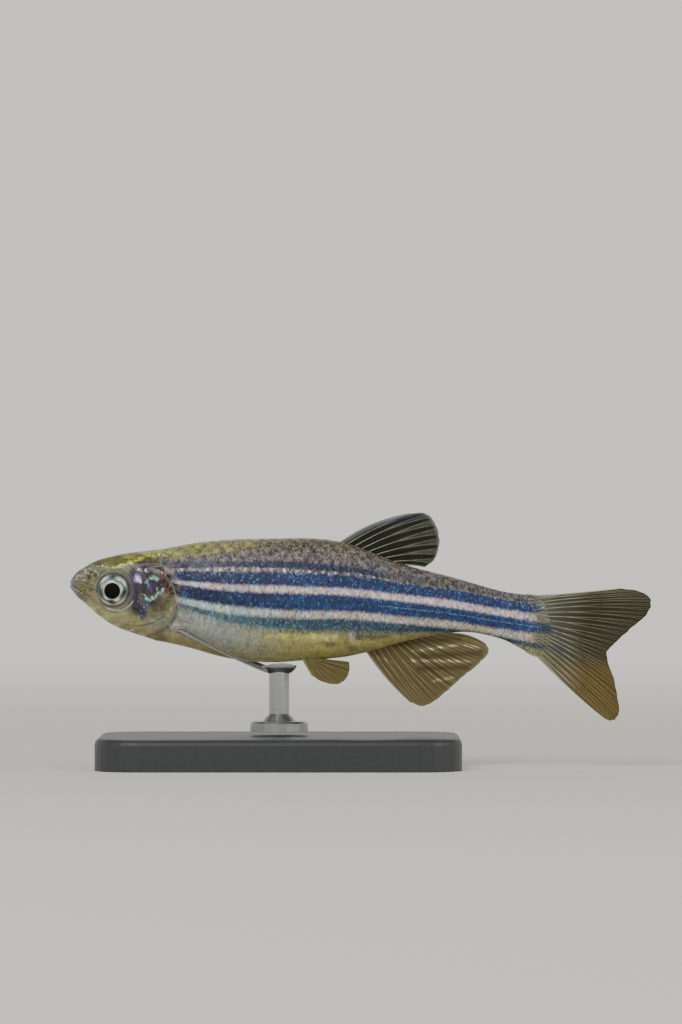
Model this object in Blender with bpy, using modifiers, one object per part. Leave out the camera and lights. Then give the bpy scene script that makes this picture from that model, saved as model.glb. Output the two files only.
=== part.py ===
"""Zebra danio at life size, swimming, held over a plain base by one short rod.

Metres, +Z up. The head points to -X and the fish's left side faces -Y.
The origin is on the underside of the base, below the middle of the fish.
"""

import math

import bmesh
import bpy
import numpy as np
from mathutils import Matrix, Vector

MM = 0.001

# Driving sizes, in millimetres. Heights are measured from the fish's own axis,
# which SWIM_HEIGHT lifts over the underside of the base.
SWIM_HEIGHT = 10.5
SNOUT_X = -20.0
TAIL_BASE_X = 12.45
GAP = 0.3
TAIL_SWAY = 0.9
SWAY_START_X = -4.0
TAIL_TIP_X = 20.0

# Side outline of the body: back and belly as (x, height).
BACK = (
    (-20.0, 2.75), (-19.3, 3.12), (-18.4, 3.64), (-16.8, 4.12), (-14.0, 4.52), (-11.0, 5.04),
    (-6.5, 5.29), (-1.3, 5.06), (2.7, 3.6), (6.4, 2.62), (9.8, 1.66), (12.45, 1.18),
)
BELLY = (
    (-20.0, 1.55), (-19.3, 1.08), (-17.5, -0.48), (-15.2, -1.45), (-12.0, -2.24), (-9.1, -3.01),
    (-6.4, -3.29), (-3.5, -3.13), (-0.7, -2.82), (2.8, -1.75), (5.6, -1.2), (7.0, -1.13),
    (9.6, -1.65), (12.45, -2.75),
)
# Half width of the body from above, as (x, half width).
HALF_WIDTH = (
    (-20.0, 0.75), (-19.3, 1.0), (-18.4, 1.38), (-17.0, 1.85), (-15.0, 2.1), (-12.5, 2.25),
    (-8.0, 2.45), (-4.0, 2.3), (0.0, 1.85), (4.0, 1.3), (8.0, 0.85), (12.45, 0.45),
)
# How square each half of a cross-section is: 2 is an ellipse.
UPPER_FULLNESS = ((-20.0, 2.2), (-17.0, 2.7), (-12.0, 2.2), (12.45, 2.2))
LOWER_FULLNESS = ((-20.0, 2.0), (-15.0, 1.8), (-9.0, 2.1), (12.45, 2.2))
WIDEST_LEVEL = 0.53
SNOUT_TIP_Z = 2.1
SNOUT_ROUNDING = 0.7

# Head
EYE_X, EYE_Z, EYE_Y = -16.94, 1.77, 1.3
EYE_RADIUS = 1.14
PUPIL_RADIUS = 0.53
EYE_TURN = math.radians(12.0)
SOCKET_RADIUS = 1.4
ORBIT_RADIUS = 1.52
ORBIT_BEAD = 0.15
MOUTH_TIP = (-20.0, 2.15)
MOUTH_CORNER = (-19.05, 1.5)
MOUTH_GAPE = 0.26
LIP_BEAD = 0.17
NOSTRILS = ((-18.62, 2.62), (-18.22, 2.72))
NOSTRIL_RADIUS = 0.2
CHEEK_SWELL = 0.18
COVER_PROUD = 0.1
COVER_THICKNESS = 0.55
NAPE_X = -14.1
MARGIN_CENTRE = (-14.63, 1.03)
MARGIN_RADII = (2.07, 2.34)
COVER_CENTRE_Z = 1.15
COVER_HEIGHT_RADIUS = 1.95
CHEEK_CENTRE = (-16.7, 1.31)
CHEEK_RADII = (1.65, 2.75)
ISTHMUS_HALF = 0.35

# Tail stalk
STALK_X = -0.35

# Fins
RAY_THICKNESS = 0.72
MEMBRANE_SHARE = 0.7
MARGIN_SHARE = 0.5
RIDGE_RISE = 0.35
FIN_SINK = 1.0

# Stand
BASE_LENGTH, BASE_WIDTH, BASE_HEIGHT = 25.0, 16.0, 2.2
BASE_CORNER = 3.0
BASE_EDGE = 0.4
STAND_X = -5.6
ROD_RADIUS = 0.7
FOOT_RADIUS, FOOT_HEIGHT = 2.0, 0.7
PAD_HALF = (1.25, 0.95, 0.8)


def clear_scene():
    for obj in list(bpy.data.objects):
        bpy.data.objects.remove(obj)


def collection(name):
    made = bpy.data.collections.new(name)
    bpy.context.scene.collection.children.link(made)
    return made


def material(name, colour, roughness, metallic=0.0, alpha=1.0):
    made = bpy.data.materials.new(name)
    made.use_nodes = True
    shader = made.node_tree.nodes["Principled BSDF"]
    shader.inputs["Base Color"].default_value = (*colour, 1.0)
    shader.inputs["Roughness"].default_value = roughness
    shader.inputs["Metallic"].default_value = metallic
    shader.inputs["Alpha"].default_value = alpha
    made.diffuse_color = (*colour, alpha)
    return made


def along(points, x):
    """The smooth curve through (position, value) points, read at x."""
    xs, values = zip(*points)
    slopes = np.gradient(values, xs)
    x = min(max(x, xs[0]), xs[-1])
    i = min(int(np.searchsorted(xs, x, side="right")) - 1, len(xs) - 2)
    span = xs[i + 1] - xs[i]
    t = (x - xs[i]) / span
    rise = values[i + 1] - values[i]
    cubic = slopes[i] * span * (t - 2 * t**2 + t**3) + slopes[i + 1] * span * (t**3 - t**2)
    return values[i] + rise * (3 * t**2 - 2 * t**3) + cubic


def between(points, t):
    """The smooth curve through evenly counted 3-D points, read at t from 0 to 1."""
    counted = [i / (len(points) - 1) for i in range(len(points))]
    return [along(list(zip(counted, axis)), t) for axis in zip(*points)]


def swum(x, y, z):
    """A point of the fish in metres, with the tail swung a little to the fish's left."""
    t = max(0.0, (x - SWAY_START_X) / (TAIL_TIP_X - SWAY_START_X))
    return Vector((x, y - TAIL_SWAY * t * t, z + SWIM_HEIGHT)) * MM


def snout_cap(x):
    """Rounds the section sizes down to nothing over the first part of the snout."""
    behind = min(max((x - SNOUT_X) / SNOUT_ROUNDING, 0.0), 1.0)
    return math.sqrt(1 - (1 - behind) ** 2)


def cheek(x):
    """Extra half width of the head, which stands a little proud of the shoulder."""
    t = min(max((x + 16.2) / 2.6, 0.0), 1.0)
    return CHEEK_SWELL * t * t * (3 - 2 * t)


def section(x, grow=0.0, swell=None):
    """(top, bottom, half width, level of the widest point) of the body at x."""
    cap = snout_cap(x - min(grow, 0.0))
    top = SNOUT_TIP_Z + (along(BACK, x) - SNOUT_TIP_Z) * cap + grow
    bottom = SNOUT_TIP_Z + (along(BELLY, x) - SNOUT_TIP_Z) * cap - grow
    half = along(HALF_WIDTH, x) * cap + grow + (swell(x) if swell else 0.0)
    level = bottom + WIDEST_LEVEL * (top - bottom)
    return top, bottom, half, level


def flank(x, z, swell=None):
    """Half width of the body at x and height z."""
    top, bottom, half, level = section(x, swell=swell)
    upper = z > level
    reach = (z - level) / ((top if upper else bottom) - level)
    power = along(UPPER_FULLNESS if upper else LOWER_FULLNESS, x)
    return half * max(0.0, 1 - min(reach, 1.0) ** power) ** (1 / power)


def body_ring(x, count, grow, swell):
    """One cross-section of the body, from the right flank round over the back."""
    top, bottom, half, level = section(x, grow, swell)
    ring = []
    for i in range(count):
        angle = 2 * math.pi * i / count
        c, s = math.cos(angle), math.sin(angle)
        power = along(UPPER_FULLNESS if s > 0 else LOWER_FULLNESS, x)
        y = half * math.copysign(abs(c) ** (2 / power), c)
        z = level + ((top - level) if s > 0 else (level - bottom)) * math.copysign(abs(s) ** (2 / power), s)
        ring.append(swum(x, y, z))
    return ring


def body_stations(start, end, step):
    """Section positions, close together over the rounded snout."""
    rounding = [start + SNOUT_ROUNDING * (1 - math.cos(math.pi / 2 * i / 5)) for i in range(1, 5)]
    straight = np.linspace(start + SNOUT_ROUNDING, end, max(2, round((end - start) / step)))
    return [*rounding, *straight]


def body_loft(name, end, step, count=32, grow=0.0, swell=None):
    """The body from the snout to end, as one closed loft. grow offsets its surface."""
    start = SNOUT_X - grow
    rings = [body_ring(x, count, grow, swell) for x in body_stations(start, end, step)]
    mesh = bpy.data.meshes.new(name)
    bm = bmesh.new()
    loops = [[bm.verts.new(p) for p in ring] for ring in rings]
    for first, second in zip(loops, loops[1:]):
        for i in range(count):
            j = (i + 1) % count
            bm.faces.new((first[i], first[j], second[j], second[i]))
    nose = bm.verts.new(swum(start, 0.0, SNOUT_TIP_Z))
    back = bm.verts.new(sum(rings[-1], Vector()) / count)
    for i in range(count):
        j = (i + 1) % count
        bm.faces.new((nose, loops[0][j], loops[0][i]))
        bm.faces.new((back, loops[-1][i], loops[-1][j]))
    bmesh.ops.recalc_face_normals(bm, faces=bm.faces)
    bm.to_mesh(mesh)
    bm.free()
    return bpy.data.objects.new(name, mesh)


def guide(obj, cutters):
    """Keeps obj as a hidden tool that shapes other pieces."""
    cutters.objects.link(obj)
    obj.hide_render = True
    obj.display_type = "WIRE"
    return obj


def shaped(obj, operation, tool):
    """Adds a live Boolean to obj."""
    modifier = obj.modifiers.new(f"{operation.lower()} {tool.name}", "BOOLEAN")
    modifier.operation = operation
    modifier.object = tool
    return obj


def upright_ellipse(name, centre, radii, y_from, y_to, steps=48):
    """An elliptic cylinder across the fish, between two widths."""
    bm = bmesh.new()
    bmesh.ops.create_cone(
        bm, cap_ends=True, segments=steps, radius1=1.0, radius2=1.0, depth=abs(y_to - y_from) * MM,
        matrix=Matrix.Rotation(math.pi / 2, 4, "X"),
    )
    bmesh.ops.scale(bm, vec=(radii[0] * MM, 1.0, radii[1] * MM), verts=bm.verts)
    middle = Vector((centre[0], (y_from + y_to) / 2, centre[1] + SWIM_HEIGHT)) * MM
    bmesh.ops.translate(bm, vec=middle, verts=bm.verts)
    mesh = bpy.data.meshes.new(name)
    bm.to_mesh(mesh)
    bm.free()
    return bpy.data.objects.new(name, mesh)


def block(name, low, high):
    """A box between two corners in millimetres from the fish's axis."""
    bm = bmesh.new()
    bmesh.ops.create_cube(bm, size=1.0)
    low, high = Vector(low), Vector(high)
    bmesh.ops.scale(bm, vec=(high - low) * MM, verts=bm.verts)
    bmesh.ops.translate(bm, vec=((high + low) / 2 + Vector((0, 0, SWIM_HEIGHT))) * MM, verts=bm.verts)
    mesh = bpy.data.meshes.new(name)
    bm.to_mesh(mesh)
    bm.free()
    return bpy.data.objects.new(name, mesh)


def ball(name, centre, radii, turn=0.0, segments=24):
    """An ellipsoid at a point of the fish, turned about the vertical."""
    bm = bmesh.new()
    bmesh.ops.create_uvsphere(bm, u_segments=segments, v_segments=segments // 2, radius=1.0)
    bmesh.ops.scale(bm, vec=[r * MM for r in radii], verts=bm.verts)
    bmesh.ops.rotate(bm, cent=(0, 0, 0), matrix=Matrix.Rotation(turn, 3, "Z"), verts=bm.verts)
    bmesh.ops.translate(bm, vec=swum(*centre), verts=bm.verts)
    mesh = bpy.data.meshes.new(name)
    bm.to_mesh(mesh)
    bm.free()
    return bpy.data.objects.new(name, mesh)


def tube(name, points, radii, closed=False):
    """A round bead through points of the fish, as a closed mesh. radii follow the points."""
    curve = bpy.data.curves.new(name, "CURVE")
    curve.dimensions = "3D"
    curve.bevel_depth = MM
    curve.bevel_resolution = 1
    curve.use_fill_caps = True
    spline = curve.splines.new("POLY")
    spline.points.add(len(points) - 1)
    for point, place, radius in zip(spline.points, points, radii):
        point.co = (*swum(*place), 1.0)
        point.radius = radius
    spline.use_cyclic_u = closed
    bead = bpy.data.objects.new(name, curve)
    bpy.context.scene.collection.objects.link(bead)
    bpy.context.view_layer.update()
    mesh = bpy.data.meshes.new_from_object(bead.evaluated_get(bpy.context.evaluated_depsgraph_get()))
    bm = bmesh.new()
    bm.from_mesh(mesh)
    bmesh.ops.remove_doubles(bm, verts=bm.verts, dist=0.002 * MM)
    bmesh.ops.recalc_face_normals(bm, faces=bm.faces)
    bm.to_mesh(mesh)
    bm.free()
    bpy.data.objects.remove(bead)
    return bpy.data.objects.new(name, mesh)


def fused(obj, pieces):
    """Joins closed pieces to obj in one applied Boolean union."""
    together = collection(f"{obj.name} pieces")
    for piece in pieces:
        together.objects.link(piece)
    bpy.context.scene.collection.objects.link(obj)
    join = obj.modifiers.new("join", "BOOLEAN")
    join.operation = "UNION"
    join.operand_type = "COLLECTION"
    join.collection = together
    bpy.context.view_layer.update()
    mesh = bpy.data.meshes.new_from_object(obj.evaluated_get(bpy.context.evaluated_depsgraph_get()))
    obj.modifiers.clear()
    obj.data = mesh
    for piece in pieces:
        bpy.data.objects.remove(piece)
    bpy.data.collections.remove(together)
    bpy.context.scene.collection.objects.unlink(obj)
    return obj


def volume_of(faces):
    """Signed volume inside a set of faces."""
    total = 0.0
    for face in faces:
        corners = [v.co for v in face.verts]
        for second, third in zip(corners[1:], corners[2:]):
            total += corners[0].dot(second.cross(third)) / 6
    return total


def largest_part(obj):
    """Bakes obj's modifiers and keeps only its largest closed surface."""
    bpy.context.view_layer.update()
    mesh = bpy.data.meshes.new_from_object(obj.evaluated_get(bpy.context.evaluated_depsgraph_get()))
    bm = bmesh.new()
    bm.from_mesh(mesh)
    left, parts = set(bm.faces), []
    while left:
        front, part = [left.pop()], []
        while front:
            face = front.pop()
            part.append(face)
            for edge in face.edges:
                for other in edge.link_faces:
                    if other in left:
                        left.remove(other)
                        front.append(other)
        parts.append(part)
    parts.sort(key=volume_of)
    for part in parts[:-1]:
        bmesh.ops.delete(bm, geom=part, context="FACES")
    bm.to_mesh(mesh)
    bm.free()
    obj.modifiers.clear()
    obj.data = mesh


def finish(obj, parts, look, smooth_angle=35.0):
    """Links a finished node, with its material and smooth shading."""
    parts.objects.link(obj)
    largest_part(obj)
    obj.data.materials.clear()
    obj.data.materials.append(look)
    for face in obj.data.polygons:
        face.material_index = 0
    obj.data.shade_smooth()
    obj.data.set_sharp_from_angle(angle=math.radians(smooth_angle))
    return obj


def orbit_rims():
    """The raised bead of skin round each eye."""
    rims = []
    for side in (-1, 1):
        ring = []
        for i in range(28):
            angle = 2 * math.pi * i / 28
            x = EYE_X + ORBIT_RADIUS * math.cos(angle)
            z = EYE_Z + ORBIT_RADIUS * math.sin(angle)
            ring.append((x, side * (flank(x, z, cheek) - 0.03), z))
        rims.append(tube(f"orbit rim {side}", ring, [ORBIT_BEAD] * len(ring), closed=True))
    return rims


def lips():
    """An upper and a lower lip, each a bead round the gape from corner to corner."""
    beads = []
    (tip_x, tip_z), (corner_x, corner_z) = MOUTH_TIP, MOUTH_CORNER
    for name, lift in (("upper lip", 0.24), ("lower lip", -0.24)):
        half = []
        for i in range(7):
            t = math.sin(math.pi / 2 * i / 6)
            x = corner_x + (tip_x + 0.16 - corner_x) * t
            z = corner_z + (tip_z - corner_z) * t + lift * (0.35 + 0.65 * t)
            half.append((x, max(flank(x, z) - 0.06, 0.0) if i < 6 else 0.0, z))
        path = [(x, -y, z) for x, y, z in half[:-1]] + [half[-1]] + half[-2::-1]
        sizes = [LIP_BEAD * (0.6 + 0.4 * math.sin(math.pi * i / (len(path) - 1))) for i in range(len(path))]
        beads.append(tube(name, path, sizes))
    return beads


def barbels():
    """The short feelers: one pair on the snout and a longer pair at the corners of the mouth."""
    feelers = []
    for side in (-1, 1):
        for name, (x, z), reach, drop in (
            ("snout barbel", (-19.35, 2.35), 1.3, 0.5),
            ("jaw barbel", (-18.95, 1.35), 1.9, 0.85),
        ):
            path = []
            for i in range(6):
                t = i / 5
                px = x + reach * t
                pz = z - drop * t * (1.3 - 0.3 * t)
                out = flank(px, pz, cheek) - 0.15 + 0.42 * math.sin(min(t * 2.2, 1.0) * math.pi / 2)
                path.append((px, side * out, pz))
            feelers.append(tube(f"{name} {side}", path, [0.25 - 0.15 * i / 5 for i in range(6)]))
    return feelers


def mouth_cutter():
    """A thin slanting wedge that opens the gape from the tip of the snout to its corner."""
    (tip_x, tip_z), (corner_x, corner_z) = MOUTH_TIP, MOUTH_CORNER
    slant = math.atan2(tip_z - corner_z, corner_x - tip_x)
    length = math.hypot(corner_x - tip_x, tip_z - corner_z)
    bm = bmesh.new()
    bmesh.ops.create_cube(bm, size=1.0)
    bmesh.ops.scale(bm, vec=(2 * length * MM, 6 * MM, MOUTH_GAPE * MM), verts=bm.verts)
    bmesh.ops.translate(bm, vec=(-length * MM, 0, 0), verts=bm.verts)
    bmesh.ops.rotate(bm, cent=(0, 0, 0), matrix=Matrix.Rotation(slant, 3, "Y"), verts=bm.verts)
    bmesh.ops.translate(bm, vec=swum(corner_x, 0, corner_z), verts=bm.verts)
    mesh = bpy.data.meshes.new("gape")
    bm.to_mesh(mesh)
    bm.free()
    return bpy.data.objects.new("gape", mesh)


def eye(side, parts, look):
    """One eyeball, turned from a profile: a shallow cornea with the pupil raised on it."""
    profile = (
        (0.0, 0.88), (PUPIL_RADIUS - 0.06, 0.85), (PUPIL_RADIUS, 0.75), (0.85, 0.6), (1.05, 0.36),
        (EYE_RADIUS, 0.05), (1.06, -0.3), (0.78, -0.6), (0.42, -0.74), (0.0, -0.78),
    )
    mesh = bpy.data.meshes.new("eye profile")
    bm = bmesh.new()
    points = [bm.verts.new((r * MM, 0, z * MM)) for r, z in profile]
    for first, second in zip(points, points[1:]):
        bm.edges.new((first, second))
    bm.to_mesh(mesh)
    bm.free()
    obj = bpy.data.objects.new("eye_left" if side < 0 else "eye_right", mesh)
    turn = obj.modifiers.new("turn", "SCREW")
    turn.steps = turn.render_steps = 24
    turn.use_merge_vertices = True
    turn.merge_threshold = 0.00001
    turn.use_normal_calculate = True
    outward = Vector((-math.sin(EYE_TURN), side * math.cos(EYE_TURN), 0.0))
    obj.matrix_world = Matrix.Translation(swum(EYE_X, side * EYE_Y, EYE_Z)) @ (
        outward.to_track_quat("Z", "Y").to_matrix().to_4x4()
    )
    return finish(obj, parts, look)


def head(parts, cutters, look, cover_look):
    """The head, its two gill covers set in recesses, and the tools that part it from the trunk."""
    skull = body_loft("head", end=-11.5, step=0.42, count=36, swell=cheek)
    skull = fused(skull, [*orbit_rims(), *lips(), *barbels()])
    (margin_x, margin_z), (cheek_x, cheek_z) = MARGIN_CENTRE, CHEEK_CENTRE
    behind = guide(block("behind the head", (NAPE_X, -9, -9), (TAIL_TIP_X, 9, 9)), cutters)
    margin = guide(upright_ellipse("gill margin", MARGIN_CENTRE, MARGIN_RADII, -9.5, 9.5), cutters)
    shaped(skull, "DIFFERENCE", shaped(behind, "DIFFERENCE", margin))
    shaped(skull, "DIFFERENCE", guide(mouth_cutter(), cutters))
    for side in (-1, 1):
        name = "left" if side < 0 else "right"
        socket = ball(
            f"socket {name}", (EYE_X, side * EYE_Y, EYE_Z),
            (SOCKET_RADIUS, 1.08, SOCKET_RADIUS), turn=side * EYE_TURN,
        )
        shaped(skull, "DIFFERENCE", guide(socket, cutters))
        for i, (x, z) in enumerate(NOSTRILS):
            pit = ball(
                f"nostril {name} {i}", (x, side * (flank(x, z, cheek) + 0.04), z),
                [NOSTRIL_RADIUS] * 3, segments=12,
            )
            shaped(skull, "DIFFERENCE", guide(pit, cutters))
        recess = guide(
            upright_ellipse(
                f"recess {name}", (margin_x, COVER_CENTRE_Z),
                (MARGIN_RADII[0] + GAP, COVER_HEIGHT_RADIUS + GAP), side * ISTHMUS_HALF, side * 6,
            ),
            cutters,
        )
        cheek_plate = guide(upright_ellipse(f"cheek {name}", CHEEK_CENTRE, CHEEK_RADII, -8, 8), cutters)
        floor = guide(
            body_loft(f"recess floor {name}", -10.5, 0.6, grow=-(COVER_THICKNESS + GAP), swell=cheek), cutters
        )
        shaped(shaped(recess, "DIFFERENCE", cheek_plate), "DIFFERENCE", floor)
        shaped(skull, "DIFFERENCE", recess)
        gill_cover(side, parts, cutters, cover_look)
    return finish(skull, parts, look)


def gill_cover(side, parts, cutters, look):
    """One gill cover: a curved plate behind the cheek, a little proud of the head."""
    name = "left" if side < 0 else "right"
    plate = body_loft(
        f"gill_cover_{name}", end=-10.5, step=0.42, count=36, grow=COVER_PROUD, swell=cheek
    )
    outline = guide(
        upright_ellipse(
            f"cover outline {name}", (MARGIN_CENTRE[0], COVER_CENTRE_Z),
            (MARGIN_RADII[0], COVER_HEIGHT_RADIUS), side * (ISTHMUS_HALF + GAP), side * 6,
        ),
        cutters,
    )
    cheek_clear = guide(
        upright_ellipse(
            f"cheek clearance {name}", CHEEK_CENTRE,
            (CHEEK_RADII[0] + GAP, CHEEK_RADII[1] + GAP), -8, 8,
        ),
        cutters,
    )
    core = guide(body_loft(f"cover core {name}", -9.5, 0.6, grow=-COVER_THICKNESS, swell=cheek), cutters)
    shaped(plate, "INTERSECT", outline)
    shaped(plate, "DIFFERENCE", cheek_clear)
    shaped(plate, "DIFFERENCE", core)
    return finish(plate, parts, look)


def trunk_and_stalk(parts, cutters, trunk_look, stalk_look):
    """The trunk behind the gill covers, and the tail stalk, parted by a thin cut at the vent."""
    trunk = body_loft("trunk", end=TAIL_BASE_X, step=0.66)
    stalk = body_loft("tail_stalk", end=TAIL_BASE_X, step=0.66)
    (margin_x, margin_z) = MARGIN_CENTRE
    before = guide(block("before the trunk", (-22, -9, -9), (NAPE_X + GAP, 9, 9)), cutters)
    opening = guide(
        upright_ellipse(
            "gill opening", MARGIN_CENTRE, (MARGIN_RADII[0] + GAP, MARGIN_RADII[1] + GAP), -9.5, 9.5
        ),
        cutters,
    )
    after = guide(block("after the trunk", (STALK_X, -9, -9), (TAIL_TIP_X, 9, 9)), cutters)
    shaped(trunk, "DIFFERENCE", before)
    shaped(trunk, "DIFFERENCE", opening)
    shaped(trunk, "DIFFERENCE", after)
    ahead = guide(block("ahead of the stalk", (-22, -9, -9), (STALK_X + GAP, 9, 9)), cutters)
    shaped(stalk, "DIFFERENCE", ahead)
    finish(trunk, parts, trunk_look)
    finish(stalk, parts, stalk_look)


def fin(name, roots, tips, rays, rows, parts, clearance, look, bow=(0.0, 0.0, 0.0), mirror=1):
    """A fan of rays from roots to tips. Each ray is a ridge on the membrane, and the root is cut to
    stand off the body. bow bends the leading ray, and fades towards the last one."""
    columns = 2 * rays - 1
    mesh = bpy.data.meshes.new(name)
    bm = bmesh.new()
    bmesh.ops.create_grid(bm, x_segments=columns - 1, y_segments=rows - 1, size=0.5)
    obj = bpy.data.objects.new(name, mesh)
    thickness = obj.vertex_groups.new(name="thickness")
    weights = bm.verts.layers.deform.new()
    for vert in bm.verts:
        across, out = vert.co.x + 0.5, vert.co.y + 0.5
        root, tip = Vector(between(roots, across)), Vector(between(tips, across))
        ray = tip - root
        root = root - ray.normalized() * FIN_SINK
        place = root + (tip - root) * out + Vector(bow) * (4 * out * (1 - out)) * (1 - across)
        on_ray = round(across * (columns - 1)) % 2 == 0
        ridge = (1 - MEMBRANE_SHARE) * min(1.0, out / RIDGE_RISE) if on_ray else 0.0
        taper = 1 - (1 - MARGIN_SHARE) * max(0.0, (out - 0.7) / 0.3) ** 2
        vert[weights][thickness.index] = (MEMBRANE_SHARE + ridge) * taper
        vert.co = swum(place.x, mirror * place.y, place.z)
    bmesh.ops.triangulate(bm, faces=bm.faces)
    bm.to_mesh(mesh)
    bm.free()
    solid = obj.modifiers.new("thickness", "SOLIDIFY")
    solid.thickness = RAY_THICKNESS * MM
    solid.offset = 0.0
    solid.vertex_group = thickness.name
    shaped(obj, "DIFFERENCE", clearance)
    obj.modifiers[-1].use_self = True
    return finish(obj, parts, look)


def dorsal_fin(parts, clearance, look):
    roots = [(x, 0.0, along(BACK, x)) for x in np.linspace(-1.31, 2.72, 4)]
    tips = [
        (3.5, 0, 7.0), (4.37, 0, 7.04), (4.85, 0, 6.75), (5.23, 0, 6.13), (5.44, 0, 5.37),
        (5.39, 0, 4.61), (4.99, 0, 3.85), (4.37, 0, 3.45),
    ]
    fin("dorsal_fin", roots, tips, 9, 9, parts, clearance, look, bow=(-0.12, 0.0, 0.28))


def anal_fin(parts, clearance, look):
    roots = [(x, 0.0, along(BELLY, x)) for x in np.linspace(0.49, 5.47, 4)]
    tips = [
        (3.48, 0, -6.02), (4.21, 0, -6.27), (4.91, 0, -6.04), (5.96, 0, -5.23), (6.85, 0, -4.41),
        (7.72, 0, -3.72), (8.43, 0, -3.08), (8.85, 0, -2.48), (8.64, 0, -2.0),
    ]
    fin("anal_fin", roots, tips, 14, 9, parts, clearance, look, bow=(-0.1, 0.0, -0.12))


def caudal_lobes(parts, clearance, look):
    """The forked tail fin, in two lobes parted along the middle of the fork."""
    fork_x, fork_z = 16.95, -2.62
    middle_x, middle_z = TAIL_BASE_X + 0.1, -0.86
    half_gap = 0.165
    upper_roots = [(12.15, 0, 1.1), (TAIL_BASE_X, 0, 0.25), (middle_x, 0, middle_z + half_gap)]
    upper_tips = [
        (19.24, 0, 1.69), (19.79, 0, 1.41), (20.0, 0, 0.9), (19.68, 0, 0.06), (18.93, 0, -0.62),
        (18.19, 0, -1.29), (17.36, 0, -2.04), (fork_x, 0, fork_z + half_gap),
    ]
    lower_roots = [(middle_x, 0, middle_z - half_gap), (TAIL_BASE_X, 0, -1.8), (12.2, 0, -2.72)]
    lower_tips = [
        (fork_x, 0, fork_z - half_gap), (17.14, 0, -3.6), (17.44, 0, -4.42), (17.66, 0, -5.54),
        (17.78, 0, -6.51), (17.59, 0, -7.09), (17.25, 0, -7.26), (16.85, 0, -7.15),
    ]
    fin("tail_fin_upper", upper_roots, upper_tips, 9, 11, parts, clearance, look)
    fin("tail_fin_lower", lower_roots, lower_tips, 9, 11, parts, clearance, look)


def pectoral_fins(parts, clearance, look):
    """Spread outwards and back, low behind the gill covers."""
    roots = [(x, -flank(x, z), z) for x, z in ((-12.9, -1.2), (-12.55, -0.85), (-12.2, -0.5))]
    tips = [
        (-6.51, -4.73, -3.92), (-6.5, -4.2, -3.6), (-7.0, -3.5, -3.05), (-8.0, -2.8, -2.35),
        (-9.3, -2.25, -1.7),
    ]
    for name, mirror in (("pectoral_fin_left", 1), ("pectoral_fin_right", -1)):
        fin(name, roots, tips, 9, 9, parts, clearance, look, mirror=mirror)


def pelvic_fins(parts, clearance, look):
    """A small pair under the belly, splayed a little outwards."""
    inset, splay = 0.75, 0.45
    roots = [(x, -inset, along(BELLY, x) + 0.12) for x in (-3.95, -3.6, -3.25)]
    outline = (
        (-3.34, -4.13), (-2.79, -4.48), (-2.17, -4.68), (-1.62, -4.72), (-1.14, -4.5), (-0.83, -4.05),
        (-0.74, -3.55), (-0.79, -3.25),
    )
    tips = [(x, -inset - splay * (along(BELLY, x) - z), z) for x, z in outline]
    for name, mirror in (("pelvic_fin_left", 1), ("pelvic_fin_right", -1)):
        fin(name, roots, tips, 8, 8, parts, clearance, look, mirror=mirror)


def stand(parts, clearance, base_look, rod_look):
    """A flat base with a rod on a foot. The rod's pad is hollowed to the belly."""
    bm = bmesh.new()
    bmesh.ops.create_cube(bm, size=1.0)
    bmesh.ops.scale(bm, vec=(BASE_LENGTH * MM, BASE_WIDTH * MM, BASE_HEIGHT * MM), verts=bm.verts)
    bmesh.ops.translate(bm, vec=(STAND_X * MM, 0, BASE_HEIGHT / 2 * MM), verts=bm.verts)
    upright = [e for e in bm.edges if abs(e.verts[0].co.z - e.verts[1].co.z) > MM]
    bmesh.ops.bevel(bm, geom=upright, offset=BASE_CORNER * MM, segments=8, profile=0.5, affect="EDGES")
    rim = [e for e in bm.edges if all(v.co.z > (BASE_HEIGHT - 0.01) * MM for v in e.verts)]
    bmesh.ops.bevel(bm, geom=rim, offset=BASE_EDGE * MM, segments=3, profile=0.5, affect="EDGES")
    mesh = bpy.data.meshes.new("stand_base")
    bm.to_mesh(mesh)
    bm.free()
    finish(bpy.data.objects.new("stand_base", mesh), parts, base_look)

    foot_z = BASE_HEIGHT + GAP
    belly_z = along(BELLY, STAND_X) + SWIM_HEIGHT
    rod = turned("stand_rod", (
        (0.0, belly_z + 0.3), (ROD_RADIUS, belly_z + 0.3), (ROD_RADIUS, foot_z + FOOT_HEIGHT + 0.5),
        (ROD_RADIUS + 0.45, foot_z + FOOT_HEIGHT), (FOOT_RADIUS - 0.15, foot_z + FOOT_HEIGHT),
        (FOOT_RADIUS, foot_z + FOOT_HEIGHT - 0.15), (FOOT_RADIUS, foot_z), (0.0, foot_z),
    ), STAND_X, 24)
    pad = ball("pad", (STAND_X, 0, belly_z - SWIM_HEIGHT - 0.1), PAD_HALF)
    rod = fused(rod, [pad])
    shaped(rod, "DIFFERENCE", clearance)
    finish(rod, parts, rod_look)


def turned(name, profile, centre_x, steps):
    """A solid of revolution about the vertical, from a profile that runs down its outer side."""
    mesh = bpy.data.meshes.new(f"{name} profile")
    bm = bmesh.new()
    points = [bm.verts.new((r * MM, 0, z * MM)) for r, z in profile]
    for first, second in zip(points, points[1:]):
        bm.edges.new((first, second))
    bm.to_mesh(mesh)
    bm.free()
    obj = bpy.data.objects.new(name, mesh)
    turn = obj.modifiers.new("turn", "SCREW")
    turn.steps = turn.render_steps = steps
    turn.use_merge_vertices = True
    turn.merge_threshold = 0.00001
    bpy.context.scene.collection.objects.link(obj)
    bpy.context.view_layer.update()
    obj.data = bpy.data.meshes.new_from_object(obj.evaluated_get(bpy.context.evaluated_depsgraph_get()))
    obj.modifiers.clear()
    obj.data.transform(Matrix.Translation((centre_x * MM, 0, 0)))
    bpy.context.scene.collection.objects.unlink(obj)
    return obj


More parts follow.
